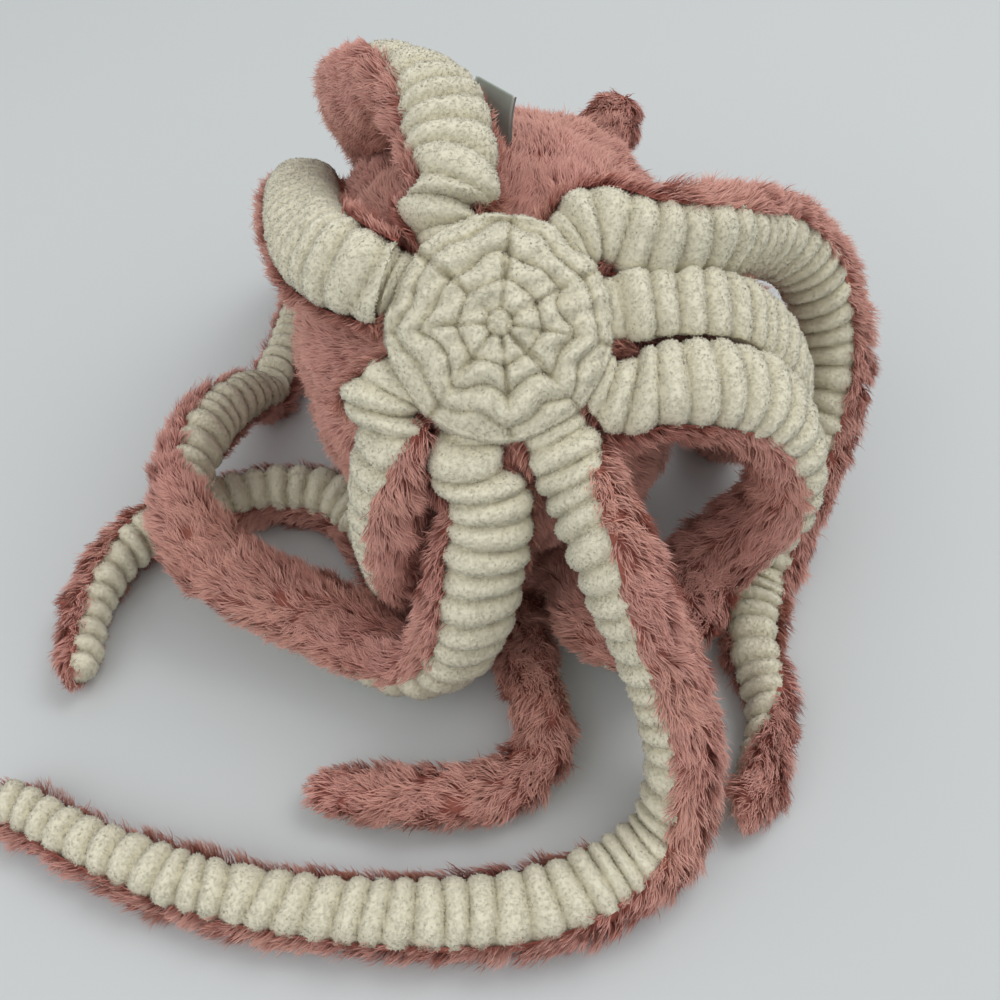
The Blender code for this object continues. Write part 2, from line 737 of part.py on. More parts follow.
def main():
    """Make the whole octopus."""
    clear_scene()
    parts = make_collection("plush_octopus")
    cutters = make_collection("cutters")
    fur = make_material("pink_fur", FUR_COLOUR, 0.95)
    cream = make_material("cream_cord", CREAM_COLOUR, 0.9)
    fibre = make_material("stuffing_fibre", FIBRE_COLOUR, 0.95)
    cloth = make_material("label_cloth", LABEL_COLOUR, 0.8)
    bead = make_material("eye_bead", BEAD_COLOUR, 0.1)
    cover, stuffing, cut_head = make_head(parts, cutters, fur, fibre)
    disk = add_object("mouth_disk", disk_mesh(0.0), parts, cream)
    cut_disk = add_object("cut_disk", disk_mesh(CUT_GAP), cutters)
    cut_floor = add_object("cut_floor", floor_mesh(), cutters)
    cut(cover, cut_floor)
    make_eyes(parts, cutters, cut_head, fur, bead)
    label = make_label(parts, cut_head, cloth)
    cut(disk, cut_head)
    solids = []
    for arm in ARMS:
        solids += make_arm(arm, parts, cutters, fur, cream)
    for i, (back, belly, _) in enumerate(solids):
        for ob in (back, belly):
            if near(ob, cut_floor):
                cut(ob, cut_floor)
            cut(ob, cut_head)
            if near(ob, cut_disk):
                cut(ob, cut_disk)
            for _, _, cutter in solids[:i]:
                if near(ob, cutter):
                    cut(ob, cutter)
    for _, _, cutter in solids:
        if near(label, cutter):
            cut(label, cutter)


main()
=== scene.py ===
"""Plush octopus in long pink fur with ribbed cream undersides, lying on its stuffed head."""
import logging
import math
from dataclasses import dataclass
from enum import Enum

import bpy
import numpy as np
from mathutils import Matrix, Vector


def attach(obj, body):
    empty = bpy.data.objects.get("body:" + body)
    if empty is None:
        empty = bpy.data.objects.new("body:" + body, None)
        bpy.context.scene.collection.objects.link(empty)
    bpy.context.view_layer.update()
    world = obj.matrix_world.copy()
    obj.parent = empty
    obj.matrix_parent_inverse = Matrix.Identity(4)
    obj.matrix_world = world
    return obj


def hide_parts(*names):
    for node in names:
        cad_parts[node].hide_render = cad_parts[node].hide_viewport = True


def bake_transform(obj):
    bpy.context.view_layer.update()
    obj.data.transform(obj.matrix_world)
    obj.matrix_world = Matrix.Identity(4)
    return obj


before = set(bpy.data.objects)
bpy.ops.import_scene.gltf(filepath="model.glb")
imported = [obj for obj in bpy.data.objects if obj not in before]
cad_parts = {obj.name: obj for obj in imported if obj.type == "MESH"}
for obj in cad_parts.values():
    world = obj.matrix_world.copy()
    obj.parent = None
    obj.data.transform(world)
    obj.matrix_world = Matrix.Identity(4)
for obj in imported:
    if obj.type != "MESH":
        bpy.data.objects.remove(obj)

LOG = logging.getLogger("plush_octopus")
Array = np.ndarray
Colour = tuple[float, float, float, float]
BODY = "octopus"


class Cloth(Enum):
    """Which of its two cloths a piece of an arm is cut from, as the solids name them."""

    FUR = "fur"
    BELLY = "belly"

    @property
    def slot(self) -> str:
        """Give the material slot that the cloth fills."""
        return "fur" if self is Cloth.FUR else "cord"


@dataclass(frozen=True)
class Sizes:
    """The sizes that the pieces share, in metres unless a name says otherwise."""

    head_width: float = 0.154
    head_depth: float = 0.180
    head_height: float = 0.150
    table_cut: float = 0.0005
    sag_power: float = 0.8
    mouth_elevation_deg: float = 50.0
    disk_radius: float = 0.034
    disk_rise: float = 0.020
    disk_power: float = 0.55
    arm_length: float = 0.420
    route_length: float = 0.385
    root_width: float = 0.025
    full_width: float = 0.037
    tip_width: float = 0.021
    root_thickness: float = 0.020
    full_thickness: float = 0.028
    tip_thickness: float = 0.017
    root_sink: float = 0.009
    root_strip: float = 0.020
    full_strip: float = 0.029
    tip_strip: float = 0.013
    fullest_share: float = 0.16
    root_start_share: float = 0.86
    root_outer_share: float = 1.25


SIZES = Sizes()
HEAD_HALF = np.array([SIZES.head_width, SIZES.head_depth, SIZES.head_height]) / 2
HEAD_CENTRE = np.array([0.0, 0.0, HEAD_HALF[2] - SIZES.table_cut])
UP_ANGLE = math.radians(SIZES.mouth_elevation_deg)
MOUTH_OUT = np.array([0.0, -math.cos(UP_ANGLE), math.sin(UP_ANGLE)])
MOUTH_RIGHT = np.array([1.0, 0.0, 0.0])
MOUTH_UP = np.cross(MOUTH_OUT, MOUTH_RIGHT)
MOUTH_POLE = MOUTH_OUT * HEAD_HALF / np.linalg.norm(MOUTH_OUT * HEAD_HALF)
MOUTH = HEAD_CENTRE + MOUTH_POLE * HEAD_HALF


def unit(rows: Array) -> Array:
    """Scale each row to length one.

    Args:
        rows: vectors along the last axis.

    Returns:
        The same vectors at length one.
    """
    return rows / np.maximum(np.linalg.norm(rows, axis=-1, keepdims=True), 1e-12)


def ripple(points: Array, wavelength: float, seed: int, waves: int = 7) -> Array:
    """Give a smooth uneven value at each point, about one either way of zero.

    Args:
        points: places, one to a row.
        wavelength: the mean distance between crests, in metres.
        seed: picks the pattern.
        waves: how many plain waves are laid over each other.

    Returns:
        One value for each point.
    """
    rng = np.random.default_rng(seed)
    ways = unit(rng.normal(size=(waves, 3))) * (2 * math.pi / wavelength)
    ways *= rng.uniform(0.6, 1.5, (waves, 1))
    shifts = rng.uniform(0, 2 * math.pi, waves)
    return np.sin(points @ ways.T + shifts).sum(axis=-1) / math.sqrt(waves / 2)


def grid_faces(rows: int, columns: int, closed: bool) -> Array:
    """Give the four-sided faces of a grid of points.

    Args:
        rows: how many rows the grid has.
        columns: how many points each row has.
        closed: whether each row's last point joins its first.

    Returns:
        Four point numbers for each face.
    """
    across = np.arange(columns if closed else columns - 1)
    low = (np.arange(rows - 1)[:, None] * columns + across).ravel()
    beside = (np.arange(rows - 1)[:, None] * columns + (across + 1) % columns).ravel()
    return np.stack((low, beside, beside + columns, low + columns), axis=1)


@dataclass
class Surface:
    """A grid of points with the way out at each and the faces between them."""

    points: Array
    normals: Array
    faces: Array

    @classmethod
    def through(cls, points: Array, closed: bool, outward: Array) -> "Surface":
        """Lay a surface through a grid of points.

        Args:
            points: the grid, as rows by columns by three.
            closed: whether each row's last point joins its first.
            outward: roughly the way out, for each point or for all.

        Returns:
            The surface, with its faces and normals turned outward.
        """
        down = np.gradient(points, axis=0)
        if closed:
            across = (np.roll(points, -1, axis=1) - np.roll(points, 1, axis=1)) / 2
        else:
            across = np.gradient(points, axis=1)
        normals = unit(np.cross(across, down))
        faces = grid_faces(*points.shape[:2], closed)
        if (normals * outward).sum() < 0:
            return cls(points, -normals, faces[:, ::-1])
        return cls(points, normals, faces)


class Piece:
    """A mesh that is gathered from parts and then put into the scene."""

    def __init__(self, name: str) -> None:
        """Start an empty piece.

        Args:
            name: the object's name.
        """
        self.name = name
        self.points: list[Array] = []
        self.normals: list[Array] = []
        self.values: list[Array] = []
        self.faces: list[Array] = []
        self.count = 0

    def add(self, points: Array, normals: Array, faces: list[Array], values: Array) -> None:
        """Add points and the faces between them.

        Args:
            points: places, one to a row.
            normals: the way out at each point.
            faces: arrays of point numbers, one array for each number of sides.
            values: for each point its reach along its fibre and its tone.
        """
        self.points.append(points)
        self.normals.append(normals)
        self.values.append(values)
        self.faces += [part + self.count for part in faces]
        self.count += len(points)

    def cover(self, surface: Surface, depth: Array | float = 0.0) -> None:
        """Add a surface.

        Args:
            surface: the surface.
            depth: the first value at each of its points.
        """
        shape = surface.points.shape[:2]
        values = np.stack((np.broadcast_to(depth, shape), np.zeros(shape)), axis=2)
        points, normals = surface.points.reshape(-1, 3), surface.normals.reshape(-1, 3)
        self.add(points, normals, [surface.faces], values.reshape(-1, 2))

    def build(self, material: bpy.types.Material) -> bpy.types.Object:
        """Put the piece into the scene.

        Args:
            material: what it is made of.

        Returns:
            The new object.
        """
        mesh = bpy.data.meshes.new(self.name)
        points = np.concatenate(self.points)
        mesh.vertices.add(len(points))
        mesh.vertices.foreach_set("co", points.astype(np.float32).ravel())
        totals = np.concatenate([np.full(len(part), part.shape[1]) for part in self.faces])
        corners = np.concatenate([part.ravel() for part in self.faces])
        mesh.loops.add(len(corners))
        mesh.loops.foreach_set("vertex_index", corners.astype(np.int32))
        mesh.polygons.add(len(totals))
        starts = np.concatenate(([0], np.cumsum(totals)[:-1]))
        mesh.polygons.foreach_set("loop_start", starts.astype(np.int32))
        mesh.update(calc_edges=True)
        mesh.shade_smooth()
        mesh.normals_split_custom_set_from_vertices(np.concatenate(self.normals))
        values = np.concatenate(self.values).astype(np.float32)
        for column, name in enumerate(("reach", "tone")):
            attribute = mesh.attributes.new(name, "FLOAT", "POINT")
            attribute.data.foreach_set("value", np.ascontiguousarray(values[:, column]))
        mesh.materials.append(material)
        ob = bpy.data.objects.new(self.name, mesh)
        bpy.context.scene.collection.objects.link(ob)
        return ob


def settle(ob: bpy.types.Object, slot: str, *nodes: str) -> None:
    """Tie a still piece to the octopus and to the solids that it stands for.

    Args:
        ob: the piece.
        slot: the material slot that it fills; not used.
        nodes: the solids' names.
    """
    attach(ob, BODY)
    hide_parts(*nodes)
    LOG.info("%s: %d faces", ob.name, len(ob.data.polygons))


@dataclass
class Frames:
    """Stations along an arm, each with its own axes and half sizes."""

    place: Array
    along: Array
    side: Array
    faces: Array
    half_width: Array
    half_thick: Array
    half_strip: Array

    def part(self, chosen: Array) -> "Frames":
        """Give some of the stations.

        Args:
            chosen: the numbers of the stations, or a mask of them.

        Returns:
            The chosen stations.
        """
        return Frames(*(getattr(self, name)[chosen] for name in self.__dataclass_fields__))


def taper(share: Array, root: float, fullest: float, tip: float) -> Array:
    """Give a width along an arm, which swells from the root and then tapers.

    Args:
        share: how far along the arm, from 0 to 1.
        root: the width at the disk.
        fullest: the greatest width.
        tip: the width at the end.

    Returns:
        The width at each share.
    """
    climb = np.minimum(share / SIZES.fullest_share, 1)
    rise = root + (fullest - root) * np.sin(math.pi / 2 * climb)
    fall = (share - SIZES.fullest_share) / (1.0 - SIZES.fullest_share)
    return np.where(share < SIZES.fullest_share, rise, fullest + (tip - fullest) * fall)


@dataclass(frozen=True)
class Limb:
    """One arm: where it leaves the disk, its route, and where its end bends.

    Each row of the route is a place on the middle line, as shares of the route's length, and
    the way that the cream strip faces there.
    """

    number: int
    root_angle_deg: float
    route_shares: tuple[tuple[float, ...], ...]
    tip_share: float

    @property
    def name(self) -> str:
        """Give the arm's name."""
        return f"arm_{self.number}"

    @property
    def tip_body(self) -> str:
        """Give the name of the body that the arm's end is."""
        return f"{self.name}_tip"


class MiddleLine:
    """The smooth line that an arm follows.

    Each stretch of the route is filled in by a number of steps. The arm's round end closes no
    further than the square root of end_floor, as a share of its full width.
    """

    steps = 12
    end_floor = 0.0025

    def __init__(self, limb: Limb) -> None:
        """Run a smooth curve through the arm's route.

        Args:
            limb: the arm.
        """
        angle = math.radians(limb.root_angle_deg)
        out = MOUTH_RIGHT * math.cos(angle) + MOUTH_UP * math.sin(angle)
        rows = []
        for share in (SIZES.root_start_share, SIZES.root_outer_share):
            reach = SIZES.disk_radius * share
            drop = HEAD_HALF[1] - math.sqrt(HEAD_HALF[1] ** 2 - reach**2)
            place = MOUTH + out * reach + MOUTH_OUT * (SIZES.root_sink - drop)
            rows.append((*place, *MOUTH_OUT))
        for x, y, z, *faces in limb.route_shares:
            size = SIZES.route_length
            rows.append((x * size, y * size, z * size, *faces))
        self.rows = self.smooth(np.array(rows))
        steps = np.linalg.norm(np.diff(self.rows[:, :3], axis=0), axis=1)
        self.run = np.concatenate(([0.0], np.cumsum(steps)))
        self.length = min(SIZES.arm_length, self.run[-1])

    def smooth(self, rows: Array) -> Array:
        """Fill in a smooth curve between rows.

        Args:
            rows: the route's rows.

        Returns:
            The rows of the curve.
        """
        ends = np.vstack((2 * rows[0] - rows[1], rows, 2 * rows[-1] - rows[-2]))
        t = (np.arange(self.steps) / self.steps)[:, None]
        found = []
        for i in range(1, len(ends) - 2):
            a, b, c, d = ends[i - 1 : i + 3]
            found.append(
                b
                + (c - a) * t / 2
                + (2 * a - 5 * b + 4 * c - d) * t**2 / 2
                + (3 * b - a - 3 * c + d) * t**3 / 2
            )
        return np.vstack((*found, rows[-1:]))

    def values(self, share: Array) -> Array:
        """Give the curve's places and facings at shares of the arm's length.

        Args:
            share: how far along the arm, from 0 to 1.

        Returns:
            A row of six numbers for each share.
        """
        at = np.clip(share, 0.0, 1.0) * self.length
        return np.stack([np.interp(at, self.run, column) for column in self.rows.T], axis=1)

    def at(self, share: Array) -> Frames:
        """Give the stations at shares of the arm's length, drawn in to a round end.

        Args:
            share: how far along the arm, from 0 to 1.

        Returns:
            The stations.
        """
        reach = taper(np.array(1.0), SIZES.root_width, SIZES.full_width, SIZES.tip_width) / 2
        last = 1.0 - float(reach) / self.length
        held = np.minimum(share, last)
        past = np.maximum(share - last, 0.0) * self.length
        full = np.sqrt(np.clip(1.0 - (past / reach) ** 2, self.end_floor, 1.0))
        span = SIZES.full_thickness / self.length / 2
        before = self.values(np.maximum(held - span, 0.0))[:, :3]
        after = self.values(np.minimum(held + span, 1.0))[:, :3]
        along = unit(after - before)
        rows = self.values(held)
        place, faces = rows[:, :3], rows[:, 3:]
        faces = unit(faces - along * (faces * along).sum(axis=1, keepdims=True))
        side = np.cross(along, faces)
        sizes = [
            taper(held, SIZES.root_width, SIZES.full_width, SIZES.tip_width) / 2,
            taper(held, SIZES.root_thickness, SIZES.full_thickness, SIZES.tip_thickness) / 2,
            taper(held, SIZES.root_strip, SIZES.full_strip, SIZES.tip_strip) / 2,
        ]
        down = np.hypot(sizes[0] * side[:, 2], sizes[1] * faces[:, 2])
        place[:, 2] = np.maximum(place[:, 2], down - SIZES.table_cut)
        place = place + along * past[:, None]
        return Frames(place, along, side, faces, *(size * full for size in sizes))


# The arms in the order in which they were laid down: a later one lies on the earlier ones.
LIMBS = (
    Limb(
        number=5,
        root_angle_deg=298,
        tip_share=0.62,
        route_shares=(
            (0.07, -0.26, 0.245, -0.85, -0.40, 0.15), (0.10, -0.32, 0.208, -1.00, -0.05, 0.10),
            (0.14, -0.37, 0.130, -1.00, 0.10, 0.12), (0.155, -0.42, 0.070, -0.90, 0.30, 0.28),
            (0.135, -0.47, 0.020, -0.60, 0.45, 0.60), (0.075, -0.508, 0.000, -0.15, 0.30, 1.00),
            (0.00, -0.525, 0.000, 0.00, 0.00, 1.00), (-0.12, -0.525, 0.000, 0.00, 0.00, 1.00),
            (-0.24, -0.505, 0.000, 0.00, 0.00, 1.00), (-0.34, -0.47, 0.000, 0.05, 0.10, 1.00),
            (-0.445, -0.42, 0.000, 0.10, 0.15, 1.00),
        ),
    ),
    Limb(
        number=4,
        root_angle_deg=331,
        tip_share=0.87,
        route_shares=(
            (0.13, -0.20, 0.302, 0.00, -0.50, 0.85), (0.18, -0.19, 0.290, 0.05, -0.40, 0.90),
            (0.22, -0.185, 0.262, 0.50, -0.20, 0.85), (0.25, -0.19, 0.210, 0.95, 0.00, 0.45),
            (0.25, -0.20, 0.156, 1.00, 0.10, -0.10), (0.22, -0.21, 0.114, 0.60, 0.20, -0.75),
            (0.19, -0.225, 0.092, 0.10, 0.10, -1.00), (0.165, -0.268, 0.083, 0.00, 0.00, -1.00),
            (0.125, -0.297, 0.080, 0.00, 0.00, -1.00), (0.087, -0.268, 0.078, 0.00, 0.00, -1.00),
            (0.082, -0.237, 0.070, 0.00, 0.00, -1.00), (0.064, -0.192, 0.055, 0.00, 0.00, -1.00),
            (0.020, -0.192, 0.025, 0.00, 0.00, -1.00), (0.018, -0.25, 0.000, 0.20, 0.00, -1.00),
            (0.030, -0.31, 0.000, 0.60, 0.10, -0.80), (0.04, -0.37, 0.000, 0.40, 0.20, -0.90),
            (0.01, -0.41, 0.000, 0.10, 0.10, -1.00), (-0.05, -0.422, 0.000, 0.00, 0.00, -1.00),
            (-0.11, -0.42, 0.000, 0.00, 0.00, -1.00), (-0.21, -0.41, 0.000, 0.00, 0.00, -1.00),
        ),
    ),
    Limb(
        number=6,
        root_angle_deg=255,
        tip_share=0.87,
        route_shares=(
            (-0.01, -0.26, 0.235, 0.25, -0.85, 0.45), (-0.02, -0.29, 0.177, 0.50, -0.82, 0.28),
            (-0.033, -0.31, 0.119, 0.60, -0.78, 0.10), (-0.059, -0.31, 0.070, 0.30, -0.80, -0.45),
            (-0.097, -0.296, 0.055, 0.00, -0.50, -0.90), (-0.16, -0.267, 0.062, 0.00, -0.10, -1.00),
            (-0.245, -0.23, 0.083, 0.10, 0.00, -1.00), (-0.298, -0.19, 0.104, 0.50, 0.05, -0.60),
            (-0.315, -0.13, 0.109, 0.85, -0.05, 0.10), (-0.305, -0.055, 0.104, 0.80, -0.10, 0.50),
            (-0.285, 0.03, 0.065, 0.50, -0.30, 0.80), (-0.27, 0.09, 0.010, 0.10, -0.10, 1.00),
            (-0.26, 0.15, 0.000, 0.00, 0.00, 1.00), (-0.255, 0.21, 0.000, 0.00, 0.00, 1.00),
            (-0.25, 0.29, 0.000, 0.00, 0.00, 1.00),
        ),
    ),
    Limb(
        number=8,
        root_angle_deg=156,
        tip_share=0.81,
        route_shares=(
            (-0.09, -0.145, 0.363, -0.10, -0.80, 0.60), (-0.128, -0.12, 0.362, -0.20, -0.70, 0.70),
            (-0.16, -0.055, 0.335, -0.20, -0.45, 0.85), (-0.187, 0.045, 0.300, 0.00, 0.00, 1.00),
            (-0.203, 0.14, 0.255, 0.10, 0.30, 0.95), (-0.215, 0.22, 0.195, 0.00, 0.70, 0.70),
            (-0.22, 0.29, 0.110, 0.00, 0.90, 0.40), (-0.205, 0.36, 0.035, 0.00, 0.80, 0.60),
            (-0.16, 0.42, 0.000, 0.00, 0.20, 1.00), (-0.10, 0.47, 0.000, 0.00, 0.00, 1.00),
            (0.00, 0.49, 0.000, 0.00, 0.00, 1.00), (0.13, 0.49, 0.000, 0.00, 0.00, 1.00),
        ),
    ),
    Limb(
        number=1,
        root_angle_deg=118,
        tip_share=0.82,
        route_shares=(
            (-0.036, -0.085, 0.405, 0.15, -0.75, 0.65), (-0.045, -0.03, 0.422, 0.30, -0.62, 0.75),
            (-0.06, 0.01, 0.432, 0.55, -0.25, 0.80), (-0.09, 0.045, 0.422, 0.75, 0.15, 0.60),
            (-0.122, 0.085, 0.392, 0.80, 0.40, 0.45), (-0.138, 0.14, 0.350, 0.80, 0.35, 0.40),
            (-0.142, 0.205, 0.295, 0.85, 0.20, 0.45), (-0.14, 0.27, 0.220, 0.90, 0.10, 0.30),
            (-0.122, 0.33, 0.125, 0.80, 0.10, 0.40), (-0.09, 0.375, 0.030, 0.50, 0.20, 0.80),
            (-0.02, 0.40, 0.000, 0.00, 0.00, 1.00), (0.06, 0.40, 0.000, 0.00, 0.00, 1.00),
            (0.18, 0.38, 0.000, 0.00, 0.00, 1.00),
        ),
    ),
    Limb(
        number=2,
        root_angle_deg=50,
        tip_share=0.79,
        route_shares=(
            (0.12, -0.10, 0.373, 0.00, -0.95, 0.25), (0.174, -0.07, 0.354, 0.00, -1.00, 0.08),
            (0.244, -0.005, 0.306, -0.05, -1.00, 0.02), (0.298, 0.017, 0.260, -0.40, -0.90, 0.00),
            (0.329, 0.00, 0.203, -0.70, -0.70, 0.10), (0.337, -0.035, 0.151, -0.80, -0.50, 0.20),
            (0.325, -0.08, 0.105, -0.85, -0.30, 0.30), (0.297, -0.14, 0.060, -0.90, -0.10, 0.40),
            (0.26, -0.21, 0.000, -0.30, 0.00, 1.00), (0.243, -0.265, 0.000, 0.00, 0.00, 1.00),
            (0.25, -0.33, 0.000, -0.85, 0.20, 0.45), (0.238, -0.39, 0.000, -0.80, 0.30, -0.50),
            (0.208, -0.445, 0.000, -0.60, 0.40, -0.75),
        ),
    ),
    Limb(
        number=3,
        root_angle_deg=11,
        tip_share=0.70,
        route_shares=(
            (0.126, -0.140, 0.335, 0.00, -0.60, 0.80), (0.165, -0.130, 0.322, 0.05, -0.50, 0.85),
            (0.222, -0.105, 0.270, 0.40, -0.40, 0.85), (0.258, -0.09, 0.210, 0.85, -0.20, 0.55),
            (0.265, -0.075, 0.145, 0.95, 0.00, 0.30), (0.25, -0.02, 0.075, 0.90, 0.20, 0.30),
            (0.24, 0.05, 0.000, 0.70, 0.20, 0.60), (0.25, 0.13, 0.000, 0.10, 0.00, 1.00),
            (0.26, 0.22, 0.000, 0.00, 0.00, 1.00), (0.26, 0.32, 0.000, 0.00, 0.00, 1.00),
            (0.24, 0.48, 0.000, 0.00, 0.00, 1.00),
        ),
    ),
    Limb(
        number=7,
        root_angle_deg=209,
        tip_share=0.68,
        route_shares=(
            (-0.082, -0.22, 0.278, -0.70, -0.35, 0.55), (-0.088, -0.235, 0.243, -0.95, 0.05, 0.25),
            (-0.092, -0.243, 0.195, -0.97, 0.15, 0.05), (-0.092, -0.23, 0.125, -0.95, 0.12, 0.15),
            (-0.092, -0.205, 0.055, -0.65, 0.00, 0.70), (-0.12, -0.15, 0.000, 0.00, 0.00, 1.00),
            (-0.16, -0.10, 0.000, 0.00, 0.00, 1.00), (-0.22, -0.08, 0.000, 0.00, 0.00, 1.00),
            (-0.285, -0.088, 0.000, 0.10, 0.00, 1.00), (-0.335, -0.105, 0.000, 0.40, 0.00, 0.90),
            (-0.37, -0.137, 0.000, 0.80, 0.00, 0.50), (-0.397, -0.18, 0.000, 0.95, -0.10, 0.25),
            (-0.406, -0.236, 0.000, 1.00, 0.00, 0.15), (-0.40, -0.31, 0.000, 1.00, 0.00, 0.15),
        ),
    ),
)


class Crowd:
    """What lies against what: the head, the disk, the table and the eight arms.

    Each arm is known by its stations. A point belongs to the nearest one, unless it lies further
    along or back from it than end_steps of the gaps between stations. Lengths are in metres.
    """

    steps = 160
    end_steps = 2.5
    chunk = 20000
    table = 0.0003
    deepest_push = 0.014
    strip_skin = 0.001
    side_share = 0.6
    head_skin = 0.005

    def __init__(self, lines: dict[str, MiddleLine]) -> None:
        """Take stations along each arm.

        Args:
            lines: the middle lines, in the order in which the arms were laid down.
        """
        self.frames = {name: line.at(np.linspace(0, 1, self.steps)) for name, line in lines.items()}

    def place_in(self, points: Array, frames: Frames) -> tuple[Array, Array, Array]:
        """Say where points lie across an arm.

        Args:
            points: places, one to a row.
            frames: the arm's stations.

        Returns:
            The nearest station's number, and the place to its side and along its facing. A
            point beyond the arm's ends gets a place far to the side.
        """
        nearest = np.empty(len(points), int)
        for start in range(0, len(points), self.chunk):
            some = points[start : start + self.chunk]
            gaps = (some**2).sum(1)[:, None] - 2 * some @ frames.place.T + (frames.place**2).sum(1)
            nearest[start : start + self.chunk] = gaps.argmin(axis=1)
        here = frames.part(nearest)
        rel = points - here.place
        step = np.linalg.norm(frames.place[1] - frames.place[0])
        away = np.abs((rel * here.along).sum(1)) > self.end_steps * step
        u = np.where(away, 1.0, (rel * here.side).sum(1))
        return nearest, u, (rel * here.faces).sum(1)

    def push_out(self, points: Array, centres: Array, name: str) -> Array:
        """Press a piece in where it meets what was laid down before it.

        Args:
            points: the piece's places, one to a row.
            centres: for each place the middle of the arm there.
            name: the arm that the piece belongs to.

        Returns:
            The places, moved to lie outside.
        """
        points = points.copy()
        for other, frames in self.frames.items():
            if other == name:
                break
            nearest, u, v = self.place_in(points, frames)
            here = frames.part(nearest)
            a, b = here.half_width, here.half_thick
            inside = (u / a) ** 2 + (v / b) ** 2 < 1.0
            if not inside.any():
                continue
            here = here.part(inside)
            u, v, a, b = u[inside], v[inside], a[inside], b[inside]
            own = centres[inside] - here.place
            du, dv = (own * here.side).sum(1), (own * here.faces).sum(1)
            size = np.maximum(np.hypot(du, dv), 1e-9)
            du, dv = du / size, dv / size
            square = (du / a) ** 2 + (dv / b) ** 2
            half = u * du / a**2 + v * dv / b**2
            rest = (u / a) ** 2 + (v / b) ** 2 - 1.0
            t = (-half + np.sqrt(np.maximum(half**2 - square * rest, 0.0))) / square
            t = np.minimum(t, self.deepest_push)
            points[inside] += here.side * (du * t)[:, None] + here.faces * (dv * t)[:, None]
        rel = (points - HEAD_CENTRE) / HEAD_HALF
        depth = np.linalg.norm(rel, axis=1)
        deep = depth < 1.0
        points[deep] = HEAD_CENTRE + rel[deep] / depth[deep, None] * HEAD_HALF
        points[:, 2] = np.maximum(points[:, 2], self.table)
        return points

    def buried(self, points: Array, name: str, lay: float, head: bool) -> Array:
        """Say which points lie inside another piece.

        Args:
            points: places, one to a row.
            name: the arm that they belong to, which isn't tested.
            lay: how far the cloth lies inside the outside of its pile.
            head: whether the head is tested too.

        Returns:
            A mask of the points.
        """
        found = np.zeros(len(points), bool)
        for other, frames in self.frames.items():
            if other == name:
                continue
            nearest, u, v = self.place_in(points, frames)
            here = frames.part(nearest)
            thick = np.where(v > 0, here.half_thick + self.strip_skin, here.half_thick - lay)
            found |= (u / (here.half_width - lay * self.side_share)) ** 2 + (v / thick) ** 2 < 1.0
        rel = points - MOUTH
        out = rel @ MOUTH_OUT
        flat = np.linalg.norm(rel - out[:, None] * MOUTH_OUT, axis=1)
        rise = SIZES.disk_rise * np.sqrt(np.clip(1 - (flat / SIZES.disk_radius) ** 2, 0, 1))
        found |= (np.abs(out) < rise) & (flat < SIZES.disk_radius)
        if head:
            inside = (points - HEAD_CENTRE) / (HEAD_HALF - self.head_skin)
            found |= np.linalg.norm(inside, axis=1) < 1.0
        return found


